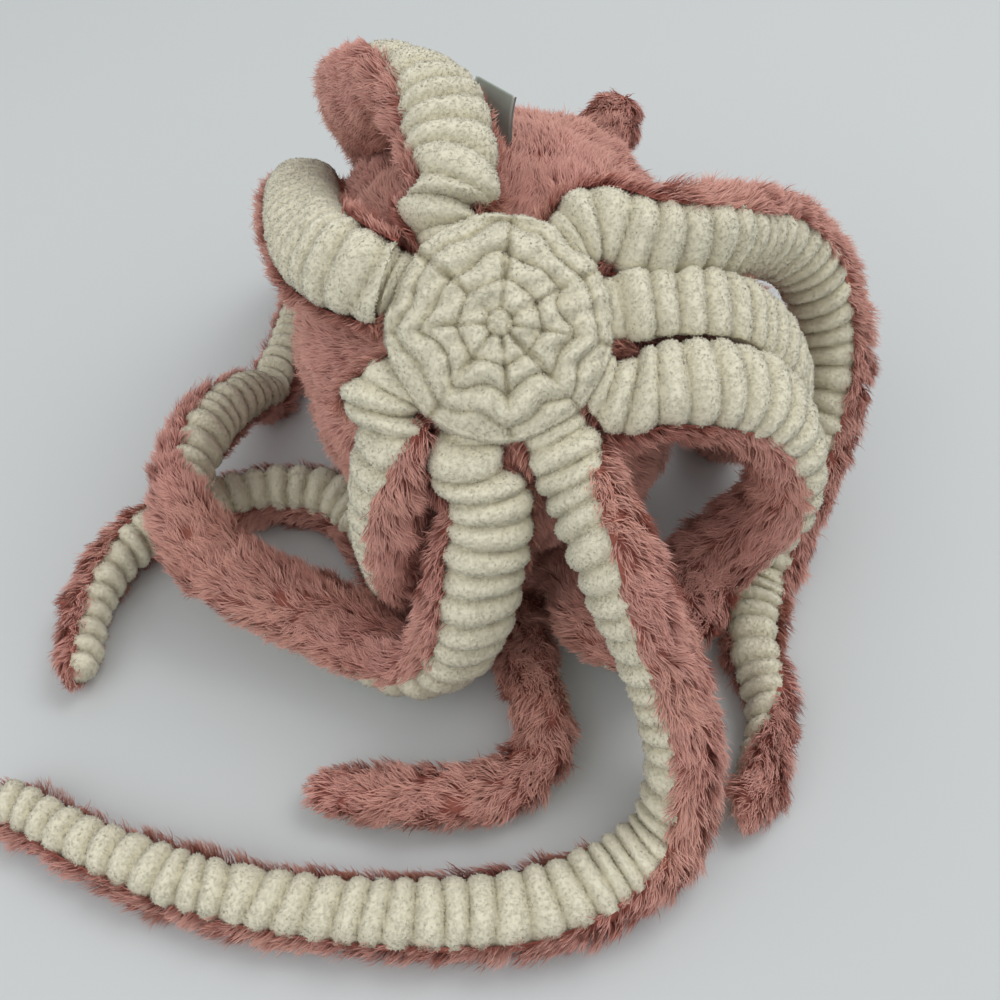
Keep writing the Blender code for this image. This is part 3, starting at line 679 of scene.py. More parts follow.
@dataclass(frozen=True)
class Pile:
    """How long fur grows: in locks of fibres that lean along the cloth and draw together.

    A few fibres stray from their lock. Lengths are in metres, and the spreads of leans and turns
    are in radians. A fibre is a ribbon of three steps that ends in a point.
    """

    length: float = 0.0086
    lock_area: float = 3.2e-6
    fibres: int = 9
    spread: float = 0.0010
    width: float = 0.00033
    lean_deg: float = 53.0
    gather: float = 0.36
    sink: float = 0.0008
    stray: float = 0.08
    tousle: float = 0.34
    stray_gather: float = 0.1
    sway: float = 0.25
    stray_sway: float = 0.9
    lean_spread: float = 0.12
    stray_lean_spread: float = 0.35
    curl: float = 0.16
    droop: float = 0.32
    roll: float = 0.4
    sizes: tuple[float, float] = (0.84, 1.05)
    lock_sizes: tuple[float, float] = (0.88, 1.10)
    step_widths: tuple[float, float, float] = (0.8, 1.0, 0.75)
    shade_spread: float = 0.22
    sway_turn: float = 0.35
    curl_turn: float = 1.6
    most_tilt: float = 1.5
    tone_spread: float = 0.5
    first_shade: float = 0.15
    shade_step: float = 0.40
    point_shade: tuple[float, float] = (0.6, 0.2)

    def grow(
        self,
        piece: Piece,
        roots: Array,
        normals: Array,
        flows: Array,
        lengths: Array,
        leans: Array,
        rng: np.random.Generator,
    ) -> None:
        """Grow a lock of fibres at each root.

        Args:
            piece: what the fibres are added to.
            roots: places on the cloth.
            normals: the way out of the cloth there.
            flows: the way that the fur is combed there.
            lengths: how long each lock is.
            leans: how far each lock leans from upright, in radians.
            rng: where the unevenness comes from.
        """
        count, each = len(roots), self.fibres
        flows = unit(flows - normals * (flows * normals).sum(1, keepdims=True))
        across = np.cross(normals, flows)
        flows = unit(flows + self.tousle * rng.normal(size=(count, 1)) * across)
        across = np.cross(normals, flows)
        tone = rng.normal(0.0, 1.0, count)
        spots = rng.normal(0.0, self.spread, (count, each, 2))
        stray = rng.random((count, each, 1)) < self.stray
        gather = np.where(stray, self.stray_gather, self.gather)
        sway = np.where(stray, self.stray_sway, self.sway) * rng.normal(0.0, 1.0, (count, each, 1))
        size = lengths[:, None, None] * rng.uniform(*self.sizes, (count, each, 1))
        size *= rng.uniform(*self.lock_sizes, (count, 1, 1))
        spread = np.where(stray, self.stray_lean_spread, self.lean_spread)
        lean = leans[:, None, None] + spread * rng.normal(size=(count, each, 1))
        curl = rng.normal(0.0, self.curl, (count, each, 1))
        out, on, off = normals[:, None], flows[:, None], across[:, None]
        lateral = spots[..., :1] * on + spots[..., 1:] * off
        base = roots[:, None] + lateral - out * self.sink
        path = [base]
        ways = []
        for step in range(3):
            tilt = np.clip(lean + (step - 1) * self.droop, 0.0, self.most_tilt)
            turn = sway * self.sway_turn + curl * (step - 1) * self.curl_turn
            way = out * np.cos(tilt) + (on * np.cos(turn) + off * np.sin(turn)) * np.sin(tilt)
            ways.append(way)
            path.append(path[-1] + way * size / 3 - lateral * gather / 3)
        roll = rng.normal(0.0, self.roll, (count, each, 1))
        rows, shades, reach = [], [], []
        light = unit(normals + self.shade_spread * rng.normal(size=(count, 3)))[:, None]
        for step, wide in enumerate(self.step_widths):
            way = ways[step]
            wing = unit(np.cross(out, way))
            face = unit(np.cross(way, wing))
            wing = wing * np.cos(roll) + face * np.sin(roll)
            turned = unit(np.cross(way, wing))
            turned = turned * np.sign((turned * face).sum(-1, keepdims=True))
            half = wing * self.width * wide / 2
            rows += [path[step] - half, path[step] + half]
            shade = unit(light + (self.first_shade + self.shade_step * step) * turned)
            shades += [shade, shade]
            reach += [step / 3, step / 3]
        rows.append(path[3])
        lit, ahead = self.point_shade
        shades.append(unit(lit * light + turned + ahead * way))
        reach.append(1.0)
        points = np.stack(rows, axis=2).reshape(-1, 3)
        points[:, 2] = np.maximum(points[:, 2], Crowd.table)
        shading = np.broadcast_to(np.stack(shades, axis=2), (count, each, 7, 3)).reshape(-1, 3)
        tones = np.broadcast_to(tone[:, None, None], (count, each, 7))
        tones = tones + self.tone_spread * rng.normal(size=(count, each, 1))
        values = np.stack((np.tile(reach, count * each), tones.reshape(-1)), axis=1)
        first = np.arange(count * each)[:, None] * 7
        quads = np.concatenate((first + [0, 2, 3, 1], first + [2, 4, 5, 3]))
        piece.add(points, shading, [quads, first + [4, 6, 5]], values)


@dataclass(frozen=True)
class Nap:
    """The short towel-like nap on the cream cord: tufts of three sides, in metres."""

    length: float = 0.0010
    area: float = 0.55e-6
    width: float = 0.0011
    sizes: tuple[float, float] = (0.6, 1.25)
    stray: float = 0.8
    least_rise: float = 0.3
    sink_share: float = 0.2
    foot_shade: float = 0.25
    point_shade: float = 0.35

    def grow(
        self, piece: Piece, roots: Array, normals: Array, groove: Array, rng: np.random.Generator
    ) -> None:
        """Grow a tuft at each root.

        Args:
            piece: what the tufts are added to.
            roots: places on the cord.
            normals: the way out of the cord there.
            groove: how deep in a groove each root lies.
            rng: where the unevenness comes from.
        """
        count = len(roots)
        way = unit(normals + self.stray * rng.normal(size=(count, 3)))
        rise = np.minimum((way * normals).sum(1, keepdims=True), self.least_rise)
        way = unit(way + normals * (self.least_rise - rise))
        wing = unit(np.cross(way, rng.normal(size=(count, 3))))
        other = np.cross(way, wing)
        size = (self.length * rng.uniform(*self.sizes, count))[:, None]
        base = roots - normals * self.length * self.sink_share
        rows, shade = [], []
        for turn in np.arange(3) * 2 * math.pi / 3:
            side = wing * math.cos(turn) + other * math.sin(turn)
            rows.append(base + side * self.width / 2)
            shade.append(unit(normals + self.foot_shade * side))
        rows.append(base + way * size)
        shade.append(unit(normals + self.point_shade * way))
        points = np.stack(rows, axis=1).reshape(-1, 3)
        points[:, 2] = np.maximum(points[:, 2], Crowd.table)
        values = np.stack((np.repeat(groove, 4), np.repeat(rng.normal(size=count), 4)), axis=1)
        first = np.arange(count)[:, None] * 4
        faces = [first + [0, 1, 3], first + [1, 2, 3], first + [2, 0, 3]]
        piece.add(points, np.stack(shade, axis=1).reshape(-1, 3), faces, values)


def scatter(
    surface: Surface, extra: Array, area: float, rng: np.random.Generator
) -> tuple[Array, Array, Array]:
    """Pick places evenly over a surface.

    Args:
        surface: the surface.
        extra: further values at each of its points, as rows by columns by any number.
        area: how much surface each place has to itself.
        rng: where the unevenness comes from.

    Returns:
        The places, the way out at each, and the further values there.
    """
    rows, columns = surface.points.shape[:2]
    faces = surface.faces
    flat = surface.points.reshape(-1, 3)
    a, b, c, d = (flat[faces[:, i]] for i in range(4))
    sizes = np.linalg.norm(np.cross(c - a, d - b), axis=1) / 2
    count = int(sizes.sum() / area)
    chosen = np.searchsorted(np.cumsum(sizes), rng.random(count) * sizes.sum())
    chosen = np.minimum(chosen, len(faces) - 1)
    s, t = rng.random((2, count, 1))
    weights = ((1 - s) * (1 - t), s * (1 - t), s * t, (1 - s) * t)

    def mixed(values: Array) -> Array:
        """Mix the values at a face's four corners."""
        flat_values = values.reshape(rows * columns, -1)
        return sum(w * flat_values[faces[chosen, i]] for i, w in enumerate(weights))

    return mixed(surface.points), unit(mixed(surface.normals)), mixed(extra)


@dataclass(frozen=True)
class Wave:
    """A smooth unevenness: its depth, the mean distance between its crests, and its pattern."""

    depth: float
    length: float
    seed: int

    def at(self, points: Array) -> Array:
        """Give the unevenness at places, one to a row."""
        return self.depth * ripple(points, self.length, self.seed)


@dataclass(frozen=True)
class Combing:
    """How unevenly pile is combed: its swirl and length by shares, its lean in radians."""

    swirl: Wave
    lean: Wave
    length: Wave


@dataclass(frozen=True)
class Edging:
    """How an arm's pile changes at the seams, at the table and at the arm's end.

    The rim is the part near a seam, and the edge is the last of it. A lock is left out where its
    root or its middle lies inside another piece, and underneath where its root is within
    floor_gap of the table, in metres. Leans are in radians, and the rest are shares.
    """

    rim_power: int = 3
    edge_power: int = 14
    rim_turn: float = 0.45
    edge_turn: float = 0.95
    edge_lean: float = 0.12
    rim_cut: float = 0.10
    edge_cut: float = 0.28
    end_length: float = 0.75
    end_growth: float = 4.0
    middle_way: tuple[float, float] = (0.6, 0.4)
    middle_share: float = 0.5
    floor_gap: float = 0.0012
    underside: float = -0.5


@dataclass
class ArmSizes:
    """How an arm's cloth is cut and how its cord is ribbed, in metres.

    The ribs run skewed, wandering and bowed, each by a share of the pitch that changes along the
    arm in waves of the length given. Each rib has its own fullness, drawn from a steep sine. A
    groove is deepest along the strip's middle. Powers, shares and fullness have no unit.
    """

    lay: float = 0.0042
    lay_share: float = 0.4
    seam_ease: float = 1.05
    puff: float = 0.035
    puff_wave: float = 0.045
    skew: float = 0.13
    skew_wave: float = 0.05
    wander: float = 0.12
    wander_wave: float = 0.03
    bow: float = 0.10
    bow_wave: float = 0.07
    seam_drop: float = 0.001
    rib_pitch: float = 0.0083
    rib_rows: int = 9
    groove: float = 0.0038
    groove_shares: tuple[float, float] = (0.55, 0.45)
    bulge: float = 0.0018
    ridge_power: float = 0.55
    crown_power: float = 2.6
    column_power: float = 0.8
    fullness: tuple[float, float] = (0.8, 0.3)
    fullness_draw: tuple[float, float] = (12.9898, 43758.5453)
    mean_fullness: float = 0.95
    mean_ridge: float = 0.60
    narrow_strip: float = 0.006
    strip_columns: int = 23
    back_rows: int = 190
    back_columns: int = 34
    least_rows: int = 12
    bend_reach: float = 0.012
    bend_room: float = 2.2
    last_share: float = 0.9995
    tuck: float = 0.010
    tuck_reach: float = 0.011
    tuck_power: float = 1.5
    combing: Combing = Combing(
        swirl=Wave(0.45, 0.014, 7), lean=Wave(0.12, 0.012, 8), length=Wave(0.12, 0.015, 9)
    )
    edging: Edging = Edging()


class Arm:
    """One arm: its pink back, the fur on it and the ribbed cream strip along its underside."""

    def __init__(self, limb: Limb, line: MiddleLine, crowd: Crowd, sizes: ArmSizes) -> None:
        """Take what the arm is built from.

        Args:
            limb: the arm.
            line: its middle line.
            crowd: what it lies against.
            sizes: how its cloth is cut.
        """
        self.limb, self.line, self.crowd, self.sizes = limb, line, crowd, sizes
        self.rng = np.random.default_rng(100 + limb.number)

    def cloth_sizes(self, f: Frames) -> tuple[Array, Array]:
        """Say how the cloth lies at the arm's stations.

        Args:
            f: the stations.

        Returns:
            How far the cloth lies inside the arm's outside, and half its width.
        """
        z = self.sizes
        lay = np.minimum(z.lay, f.half_width * z.lay_share)
        return lay, np.maximum(f.half_width - lay, f.half_strip * z.seam_ease)

    def pressed_grid(self, f: Frames, u: Array, v: Array) -> Array:
        """Place a grid across the arm, pressed in where it meets other pieces.

        Args:
            f: the stations, one to a row of the grid.
            u: how far each point lies to the side.
            v: how far each point lies along the facing.

        Returns:
            The grid of places.
        """
        grid = f.place[:, None] + f.side[:, None] * u[..., None] + f.faces[:, None] * v[..., None]
        centres = np.broadcast_to(f.place[:, None], grid.shape).reshape(-1, 3)
        return self.crowd.push_out(grid.reshape(-1, 3), centres, self.limb.name).reshape(grid.shape)

    def back_grid(self, share: Array) -> tuple[Array, Array]:
        """Give the pink back's surface.

        Args:
            share: the rows' shares of the arm's length.

        Returns:
            The grid of places, and for each place its share and how far round it lies, from
            -1 at one seam to 1 at the other.
        """
        f, z = self.line.at(share), self.sizes
        lay, half = self.cloth_sizes(f)
        start = np.arccos(np.clip(f.half_strip / half, 0, 1))
        around = np.linspace(-1, 1, z.back_columns)
        angle = -math.pi / 2 - around * (math.pi / 2 + start[:, None])
        puff = 1.0 + z.puff * ripple(f.place, z.puff_wave, self.limb.number)[:, None]
        u = half[:, None] * np.cos(angle) * puff
        thick = np.where(np.sin(angle) < 0, (f.half_thick - lay)[:, None], f.half_thick[:, None])
        v = np.sin(angle) * thick
        values = np.stack(np.broadcast_arrays(share[:, None], around[None]), axis=2)
        return self.pressed_grid(f, u, v), values

    def strip_grid(self, share: Array) -> tuple[Array, Array]:
        """Give the cream strip's surface, with its ribs.

        Args:
            share: the rows' shares of the arm's length.

        Returns:
            The grid of places, and for each place how deep in a groove it lies.
        """
        f, z = self.line.at(share), self.sizes
        _, half = self.cloth_sizes(f)
        base = f.half_thick * np.sqrt(np.clip(1 - (f.half_strip / half) ** 2, 0, 1)) - z.seam_drop
        across = np.linspace(-1, 1, z.strip_columns)
        across = np.sign(across) * np.abs(across) ** z.column_power
        run = share[:, None] * self.line.length
        skew = z.skew * ripple(f.place, z.skew_wave, 30 + self.limb.number)[:, None]
        wander = z.wander * ripple(f.place, z.wander_wave, 60 + self.limb.number)[:, None]
        bow = z.bow * ripple(f.place, z.bow_wave, 90 + self.limb.number)[:, None]
        phase = run / z.rib_pitch + wander + skew * across + bow * across**2
        number = np.floor(phase)
        pace, steepness = z.fullness_draw
        drawn = np.sin(number * pace + self.limb.number) * steepness
        fullness = z.fullness[0] + z.fullness[1] * (drawn - np.floor(drawn))
        ridge = np.abs(np.sin(math.pi * phase)) ** z.ridge_power
        hollow = (1.0 - ridge) * np.minimum(1.0, f.half_strip / z.narrow_strip)[:, None]
        crown = (1 - np.abs(across) ** z.crown_power) ** 0.5
        rise = (f.half_thick - base)[:, None] * crown
        at_rim, at_middle = z.groove_shares
        lift = rise - z.groove * hollow * (at_rim + at_middle * crown)
        lift = lift + z.bulge * (fullness - z.mean_fullness) * ridge
        width = f.half_strip[:, None] + z.bulge * (ridge * fullness - z.mean_ridge)
        u = across * width
        sunk = z.tuck * np.clip(1 - run / z.tuck_reach, 0, 1) ** z.tuck_power
        v = base[:, None] + lift - sunk
        depth = hollow[..., None] * np.ones_like(across)[None, :, None]
        return self.pressed_grid(f, u, v), depth

    def spans(self) -> list[tuple[str, float, float, bool]]:
        """Give the arm's still length and its end, cut near the bend: label, first and last share,
        bends.
        """
        z = self.sizes
        cut = self.limb.tip_share - z.bend_room * z.bend_reach / self.line.length
        return [("", 0.0, cut, False), ("_end", cut, z.last_share, True)]

    def settle(self, ob: bpy.types.Object, bends: bool, cloth: Cloth) -> None:
        """Tie a piece of the still length to the octopus, or bake an end piece's place into its
        mesh; either way hide the solids that it stands for.

        Args:
            ob: the piece.
            bends: whether it crosses the arm's bend.
            cloth: what it is cut from.
        """
        name = self.limb.name
        if not bends:
            parts = (f"{name}_{part}_{cloth.value}" for part in ("root", "middle"))
            settle(ob, cloth.slot, *parts)
            return
        f = self.line.at(np.array([self.limb.tip_share]))
        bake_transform(ob)
        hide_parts(f"{name}_tip_{cloth.value}")
        LOG.info("%s: %d faces", ob.name, len(ob.data.polygons))

    def build_back(self, cloth: bpy.types.Material, pile: Pile, fur: bpy.types.Material) -> None:
        """Build the pink back and its fur.

        Args:
            cloth: what the back is made of.
            pile: how the fur grows.
            fur: what the fur is made of.
        """
        for label, first, last, bends in self.spans():
            rows = max(self.sizes.least_rows, round(self.sizes.back_rows * (last - first)))
            share = np.linspace(first, last, rows)
            grid, values = self.back_grid(share)
            outward = grid - self.line.at(share).place[:, None]
            surface = Surface.through(grid, False, outward)
            backing = Piece(f"{self.limb.name}{label}_back")
            backing.cover(surface)
            ob = backing.build(cloth)
            self.settle(ob, bends, Cloth.FUR)
            self.build_fur(f"{self.limb.name}{label}_fur", surface, values, pile, fur, bends)

    def build_fur(
        self,
        name: str,
        surface: Surface,
        values: Array,
        pile: Pile,
        fur: bpy.types.Material,
        bends: bool,
    ) -> None:
        """Build the fur of a stretch of the back.

        Args:
            name: the piece's name.
            surface: the stretch's cloth.
            values: the share and the way round at each of its points.
            pile: how the fur grows.
            fur: what the fur is made of.
            bends: whether the stretch crosses the arm's bend.
        """
        roots, out, extra = scatter(surface, values, pile.lock_area, self.rng)
        f, c, e = self.line.at(extra[:, 0]), self.sizes.combing, self.sizes.edging
        lay = self.sizes.lay
        around = extra[:, 1]
        drawn = unit(roots - f.place)
        rim = np.abs(around) ** e.rim_power
        edge = np.abs(around) ** e.edge_power
        away = -f.faces - drawn * (drawn * -f.faces).sum(1, keepdims=True)
        comb = unit(f.along) + away * (e.rim_turn * rim - e.edge_turn * edge)[:, None]
        turn = c.swirl.at(roots)[:, None] * np.cross(out, f.along)
        leans = math.radians(pile.lean_deg) + c.lean.at(roots)
        leans = leans - e.edge_lean * edge
        size = pile.length * (1 + c.length.at(roots))
        size = size * (1.0 - e.rim_cut * rim - e.edge_cut * edge)
        size *= np.minimum(1.0, e.end_length + e.end_growth * (1.0 - extra[:, 0]))
        rise, lead = e.middle_way
        middle = roots + (out * rise + unit(comb) * lead) * size[:, None] * e.middle_share
        keep = ~self.crowd.buried(roots, self.limb.name, lay, True)
        keep &= ~self.crowd.buried(middle, self.limb.name, lay, True)
        keep &= (roots[:, 2] > e.floor_gap) | (out[:, 2] > e.underside)
        chosen = [array[keep] for array in (roots, out, comb + turn, size, leans)]
        piece = Piece(name)
        pile.grow(piece, *chosen, self.rng)
        self.settle(piece.build(fur), bends, Cloth.FUR)

    def build_strip(self, cord: bpy.types.Material, nap: Nap) -> None:
        """Build the ribbed cream strip.

        Args:
            cord: what it is made of.
            nap: how its nap grows.
        """
        for label, first, last, bends in self.spans():
            ribs = (last - first) * self.line.length / self.sizes.rib_pitch
            rows = max(self.sizes.least_rows, round(ribs * self.sizes.rib_rows))
            share = np.linspace(first, last, rows)
            grid, hollow = self.strip_grid(share)
            surface = Surface.through(grid, False, self.line.at(share).faces[:, None])
            piece = Piece(f"{self.limb.name}{label}_strip")
            # The groove depth darkens the cord's colour: painted shade in the rib hollows.
            piece.cover(surface, hollow[..., 0])
            roots, out, depth = scatter(surface, hollow, nap.area, self.rng)
            keep = ~self.crowd.buried(roots, self.limb.name, self.sizes.lay, True)
            nap.grow(piece, roots[keep], out[keep], depth[keep, 0], self.rng)
            ob = piece.build(cord)
            self.settle(ob, bends, Cloth.BELLY)


@dataclass
class HeadSizes:
    """How the head, its mounds, its beads and its label are made, in metres.

    A grid's size is its rows and columns. The levels at which locks are tested against the arms
    are heights over the cloth.
    """

    lay: float = 0.0035
    rows: int = 90
    columns: int = 150
    pole_gap: float = 0.02
    lump: Wave = Wave(0.0012, 0.05, 21)
    pile: Pile = Pile(length=0.0080, lean_deg=54.0, lock_area=3.6e-6)
    combing: Combing = Combing(
        swirl=Wave(0.55, 0.030, 22), lean=Wave(0.16, 0.02, 23), length=Wave(0.15, 0.018, 24)
    )
    press: float = 0.0070
    press_levels: tuple[float, float] = (0.002, 0.005)
    floor_gap: float = 0.0015
    fur_pieces: int = 4
    filling_lay: float = 0.008
    filling_step: int = 3
    filling_rough: float = 0.0008
    filling_wave: float = 0.02
    filling_sink: float = 2.0
    filling_floor: float = 0.002
    mound_pile: Pile = Pile(
        length=0.0064, lean_deg=68.0, lock_area=1.5e-6, spread=0.0006, tousle=0.2
    )
    mound_combing: Combing = Combing(
        swirl=Wave(0.5, 0.012, 26), lean=Wave(0.15, 0.01, 28), length=Wave(0.12, 0.01, 27)
    )
    mound_grid: tuple[int, int] = (24, 40)
    mound_turn: float = 0.62
    mound_radius: float = 0.0115
    mound_height: float = 0.022
    mound_side_lay: float = 0.0005
    mound_top_lay: float = 0.0015
    eye_radius: float = 0.0045
    eye_sink: float = 0.0020
    eye_level_share: float = 0.5
    eye_clearing: float = 1.15
    bead_grid: tuple[int, int] = (20, 32)
    bead_pole_gap: float = 0.01
    bead_back: float = -0.7
    label_width: float = 0.019
    label_length: float = 0.028
    label_gap: float = 0.0009
    label_bow: float = 0.0012
    label_bow_turn: float = 1.4
    label_rows: int = 14
    label_fold_rows: int = 7
    label_columns: int = 12
    label_foot_share: float = 0.3
    label_turn_deg: float = -137.0
    label_lean_deg: float = -12.0


class Head:
    """The stuffed head with its fur, its eye mounds and beads, and the label in its seam."""

    eye_spots = {"right": (0.50, 0.66, 0.56), "left": (-0.25, 0.93, 0.27)}
    eye_look = (0.15, 0.95, 0.20)
    label_spot = (-0.035, 0.16, 1.02)

    def __init__(self, crowd: Crowd, sizes: HeadSizes) -> None:
        """Take what the head is built from.

        Args:
            crowd: what lies against it.
            sizes: how its cloth lies.
        """
        self.crowd, self.sizes = crowd, sizes
        self.rng = np.random.default_rng(11)

    def grid(self, shrink: float) -> Array:
        """Give the head's surface, with its poles at and behind the mouth.

        Args:
            shrink: how far it lies inside the head's outside.

        Returns:
            The grid of places.
        """
        z = self.sizes
        tilt = np.linspace(z.pole_gap, math.pi - z.pole_gap, z.rows)[:, None]
        turn = np.linspace(0, 2 * math.pi, z.columns, endpoint=False)[None]
        side = unit(np.cross(MOUTH_POLE, MOUTH_RIGHT))
        ball = (
            np.cos(tilt)[..., None] * MOUTH_POLE
            + (np.sin(tilt) * np.cos(turn))[..., None] * MOUTH_RIGHT
            + (np.sin(tilt) * np.sin(turn))[..., None] * side
        )
        low = ball[..., 2] < 0
        ball[..., 2] = np.where(low, -(np.abs(ball[..., 2]) ** SIZES.sag_power), ball[..., 2])
        lumps = z.lump.at(ball.reshape(-1, 3) * HEAD_HALF).reshape(ball.shape[:2])
        grid = HEAD_CENTRE + ball * (HEAD_HALF - shrink) + unit(ball) * lumps[..., None]
        grid[..., 2] = np.maximum(grid[..., 2], Crowd.table)
        return grid

    def build_cover(self, cloth: bpy.types.Material, fur: bpy.types.Material) -> None:
        """Build the head's cover and the fur on it.

        Args:
            cloth: what the cover is made of.
            fur: what the fur is made of.
        """
        z = self.sizes
        grid = self.grid(z.lay)
        surface = Surface.through(grid, True, grid - HEAD_CENTRE)
        cover = Piece("head_skin")
        cover.cover(surface)
        ob = cover.build(cloth)
        settle(ob, "fur", "head_cover")
        pile = z.pile
        roots, out, _ = scatter(surface, surface.normals, pile.lock_area, self.rng)
        away = out * (MOUTH_POLE * out).sum(1, keepdims=True) - MOUTH_POLE
        turn = z.combing.swirl.at(roots)[:, None] * np.cross(out, unit(away))
        leans = math.radians(pile.lean_deg) + z.combing.lean.at(roots)
        size = pile.length * (1 + z.combing.length.at(roots))
        keep = roots[:, 2] > z.floor_gap
        for level in z.press_levels:
            keep &= ~self.crowd.buried(roots + out * level, "", z.press, False)
        chosen = [array[keep] for array in (roots, out, unit(away) + turn, size, leans)]
        order = np.argsort(np.arctan2(chosen[0][:, 1], chosen[0][:, 0]))
        for number, part in enumerate(np.array_split(order, z.fur_pieces), 1):
            piece = Piece(f"head_fur_{number}")
            pile.grow(piece, *(array[part] for array in chosen), self.rng)
            settle(piece.build(fur), "fur", "head_cover")

    def build_filling(self, fibre: bpy.types.Material) -> None:
        """Build the stuffing, a lumpy wad of fibre inside the cover.

        Args:
            fibre: what it is made of.
        """
        z = self.sizes
        grid = self.grid(z.filling_lay)[:: z.filling_step, :: z.filling_step]
        rough = ripple(grid.reshape(-1, 3), z.filling_wave, 25).reshape(grid.shape[:2])
        sunk = z.filling_rough * (rough + z.filling_sink)
        grid = grid - unit(grid - HEAD_CENTRE) * sunk[..., None]
        grid[..., 2] = np.maximum(grid[..., 2], z.filling_floor)
        piece = Piece("head_filling")
        piece.cover(Surface.through(grid, True, grid - HEAD_CENTRE))
        ob = piece.build(fibre)
        settle(ob, "fibre", "head_stuffing")

    def build_eyes(
        self, cloth: bpy.types.Material, fur: bpy.types.Material, bead: bpy.types.Material
    ) -> None:
        """Build the two mounds with their fur and their beads.

        Args:
            cloth: what the mounds are made of.
            fur: what their fur is made of.
            bead: what the beads are made of.
        """
        z = self.sizes
        pile, combing = z.mound_pile, z.mound_combing
        rows, columns = z.mound_grid
        for side, spot in self.eye_spots.items():
            spot_way = unit(np.array(spot))
            place = HEAD_CENTRE + spot_way * HEAD_HALF
            out = unit(spot_way / HEAD_HALF)
            look = np.array(self.eye_look)
            look = unit(look - out * (look @ out))
            wing = np.cross(out, look)
            tilt = np.linspace(z.pole_gap, math.pi * z.mound_turn, rows)[:, None, None]
            turn = np.linspace(0, 2 * math.pi, columns, endpoint=False)[None, :, None]
            radius, height = z.mound_radius - z.mound_side_lay, z.mound_height - z.mound_top_lay
            grid = (
                place
                + out * np.cos(tilt) * height
                + (look * np.cos(turn) + wing * np.sin(turn)) * np.sin(tilt) * radius
            )
            surface = Surface.through(grid, True, grid - place)
            mound = Piece(f"eye_mound_{side}_skin")
            mound.cover(surface)
            ob = mound.build(cloth)
            settle(ob, "fur", f"eye_mound_{side}")
            roots, ways, _ = scatter(surface, surface.normals, pile.lock_area, self.rng)
            centre = place + out * z.mound_height * z.eye_level_share
            reach = z.mound_radius * math.sqrt(1 - z.eye_level_share**2)
            reach += z.eye_radius - z.eye_sink
            centre = centre + look * (reach - z.eye_radius)
            keep = np.linalg.norm(roots - centre, axis=1) > z.eye_radius * z.eye_clearing
            comb = -out + combing.swirl.at(roots)[:, None] * np.cross(ways, out)
            size = pile.length * (1 + combing.length.at(roots))
            leans = math.radians(pile.lean_deg) + combing.lean.at(roots)
            locks = Piece(f"eye_mound_{side}_fur")
            chosen = [array[keep] for array in (roots, ways, comb, size, leans)]
            pile.grow(locks, *chosen, self.rng)
            settle(locks.build(fur), "fur", f"eye_mound_{side}")
            self.build_bead(side, centre, look, bead)

    def build_bead(self, side: str, centre: Array, look: Array, bead: bpy.types.Material) -> None:
        """Build a bead, a little flattened at its back.

        Args:
            side: right or left.
            centre: where it sits.
            look: the way that it faces.
            bead: what it is made of.
        """
        z = self.sizes
        rows, columns = z.bead_grid
        tilt = np.linspace(z.bead_pole_gap, math.pi - z.bead_pole_gap, rows)[:, None, None]
        turn = np.linspace(0, 2 * math.pi, columns, endpoint=False)[None, :, None]
        wing = unit(np.cross(look, [0.0, 0.0, 1.0]))
        rise = np.cross(wing, look)
        ball = look * np.maximum(np.cos(tilt), z.bead_back)
        ball = ball + (wing * np.cos(turn) + rise * np.sin(turn)) * np.sin(tilt)
        piece = Piece(f"eye_{side}_bead")
        piece.cover(Surface.through(centre + ball * z.eye_radius, True, ball))
        ob = piece.build(bead)
        settle(ob, "bead", f"eye_{side}")

    def build_label(self, tape: bpy.types.Material) -> None:
        """Build the bare label: a strip of tape folded in two, with its fold on the outside.

        Args:
            tape: what it is made of.
        """
        z = self.sizes
        foot = HEAD_CENTRE + np.array(self.label_spot) * HEAD_HALF
        turn = Matrix.Rotation(math.radians(z.label_turn_deg), 3, "Z")
        lean = Matrix.Rotation(math.radians(z.label_lean_deg), 3, "Y")
        axes = np.array(turn @ lean).T
        leg, gap, rows = z.label_length / 2, z.label_gap / 2, z.label_rows
        up = np.linspace(-z.label_foot_share * leg, leg - gap, rows)
        angle = np.linspace(math.pi, 0, z.label_fold_rows)[1:-1]
        heights = np.concatenate((up, leg - gap + gap * np.sin(angle), up[::-1]))
        depths = np.concatenate((np.full(rows, -gap), gap * np.cos(angle), np.full(rows, gap)))
        wide = np.linspace(-z.label_width / 2, z.label_width / 2, z.label_columns)
        bow = z.label_bow * np.sin(heights / z.label_length * math.pi * z.label_bow_turn)
        grid = (
            foot
            + axes[0] * (depths + bow)[:, None, None]
            + axes[1] * wide[None, :, None]
            + axes[2] * heights[:, None, None]
        )
        outward = grid - (foot + axes[0] * bow[:, None, None])
        piece = Piece("label_tape")
        edge = np.abs(wide / (z.label_width / 2))
        piece.cover(Surface.through(grid, False, outward), edge)
        ob = piece.build(tape)
        settle(ob, "label", "side_label")


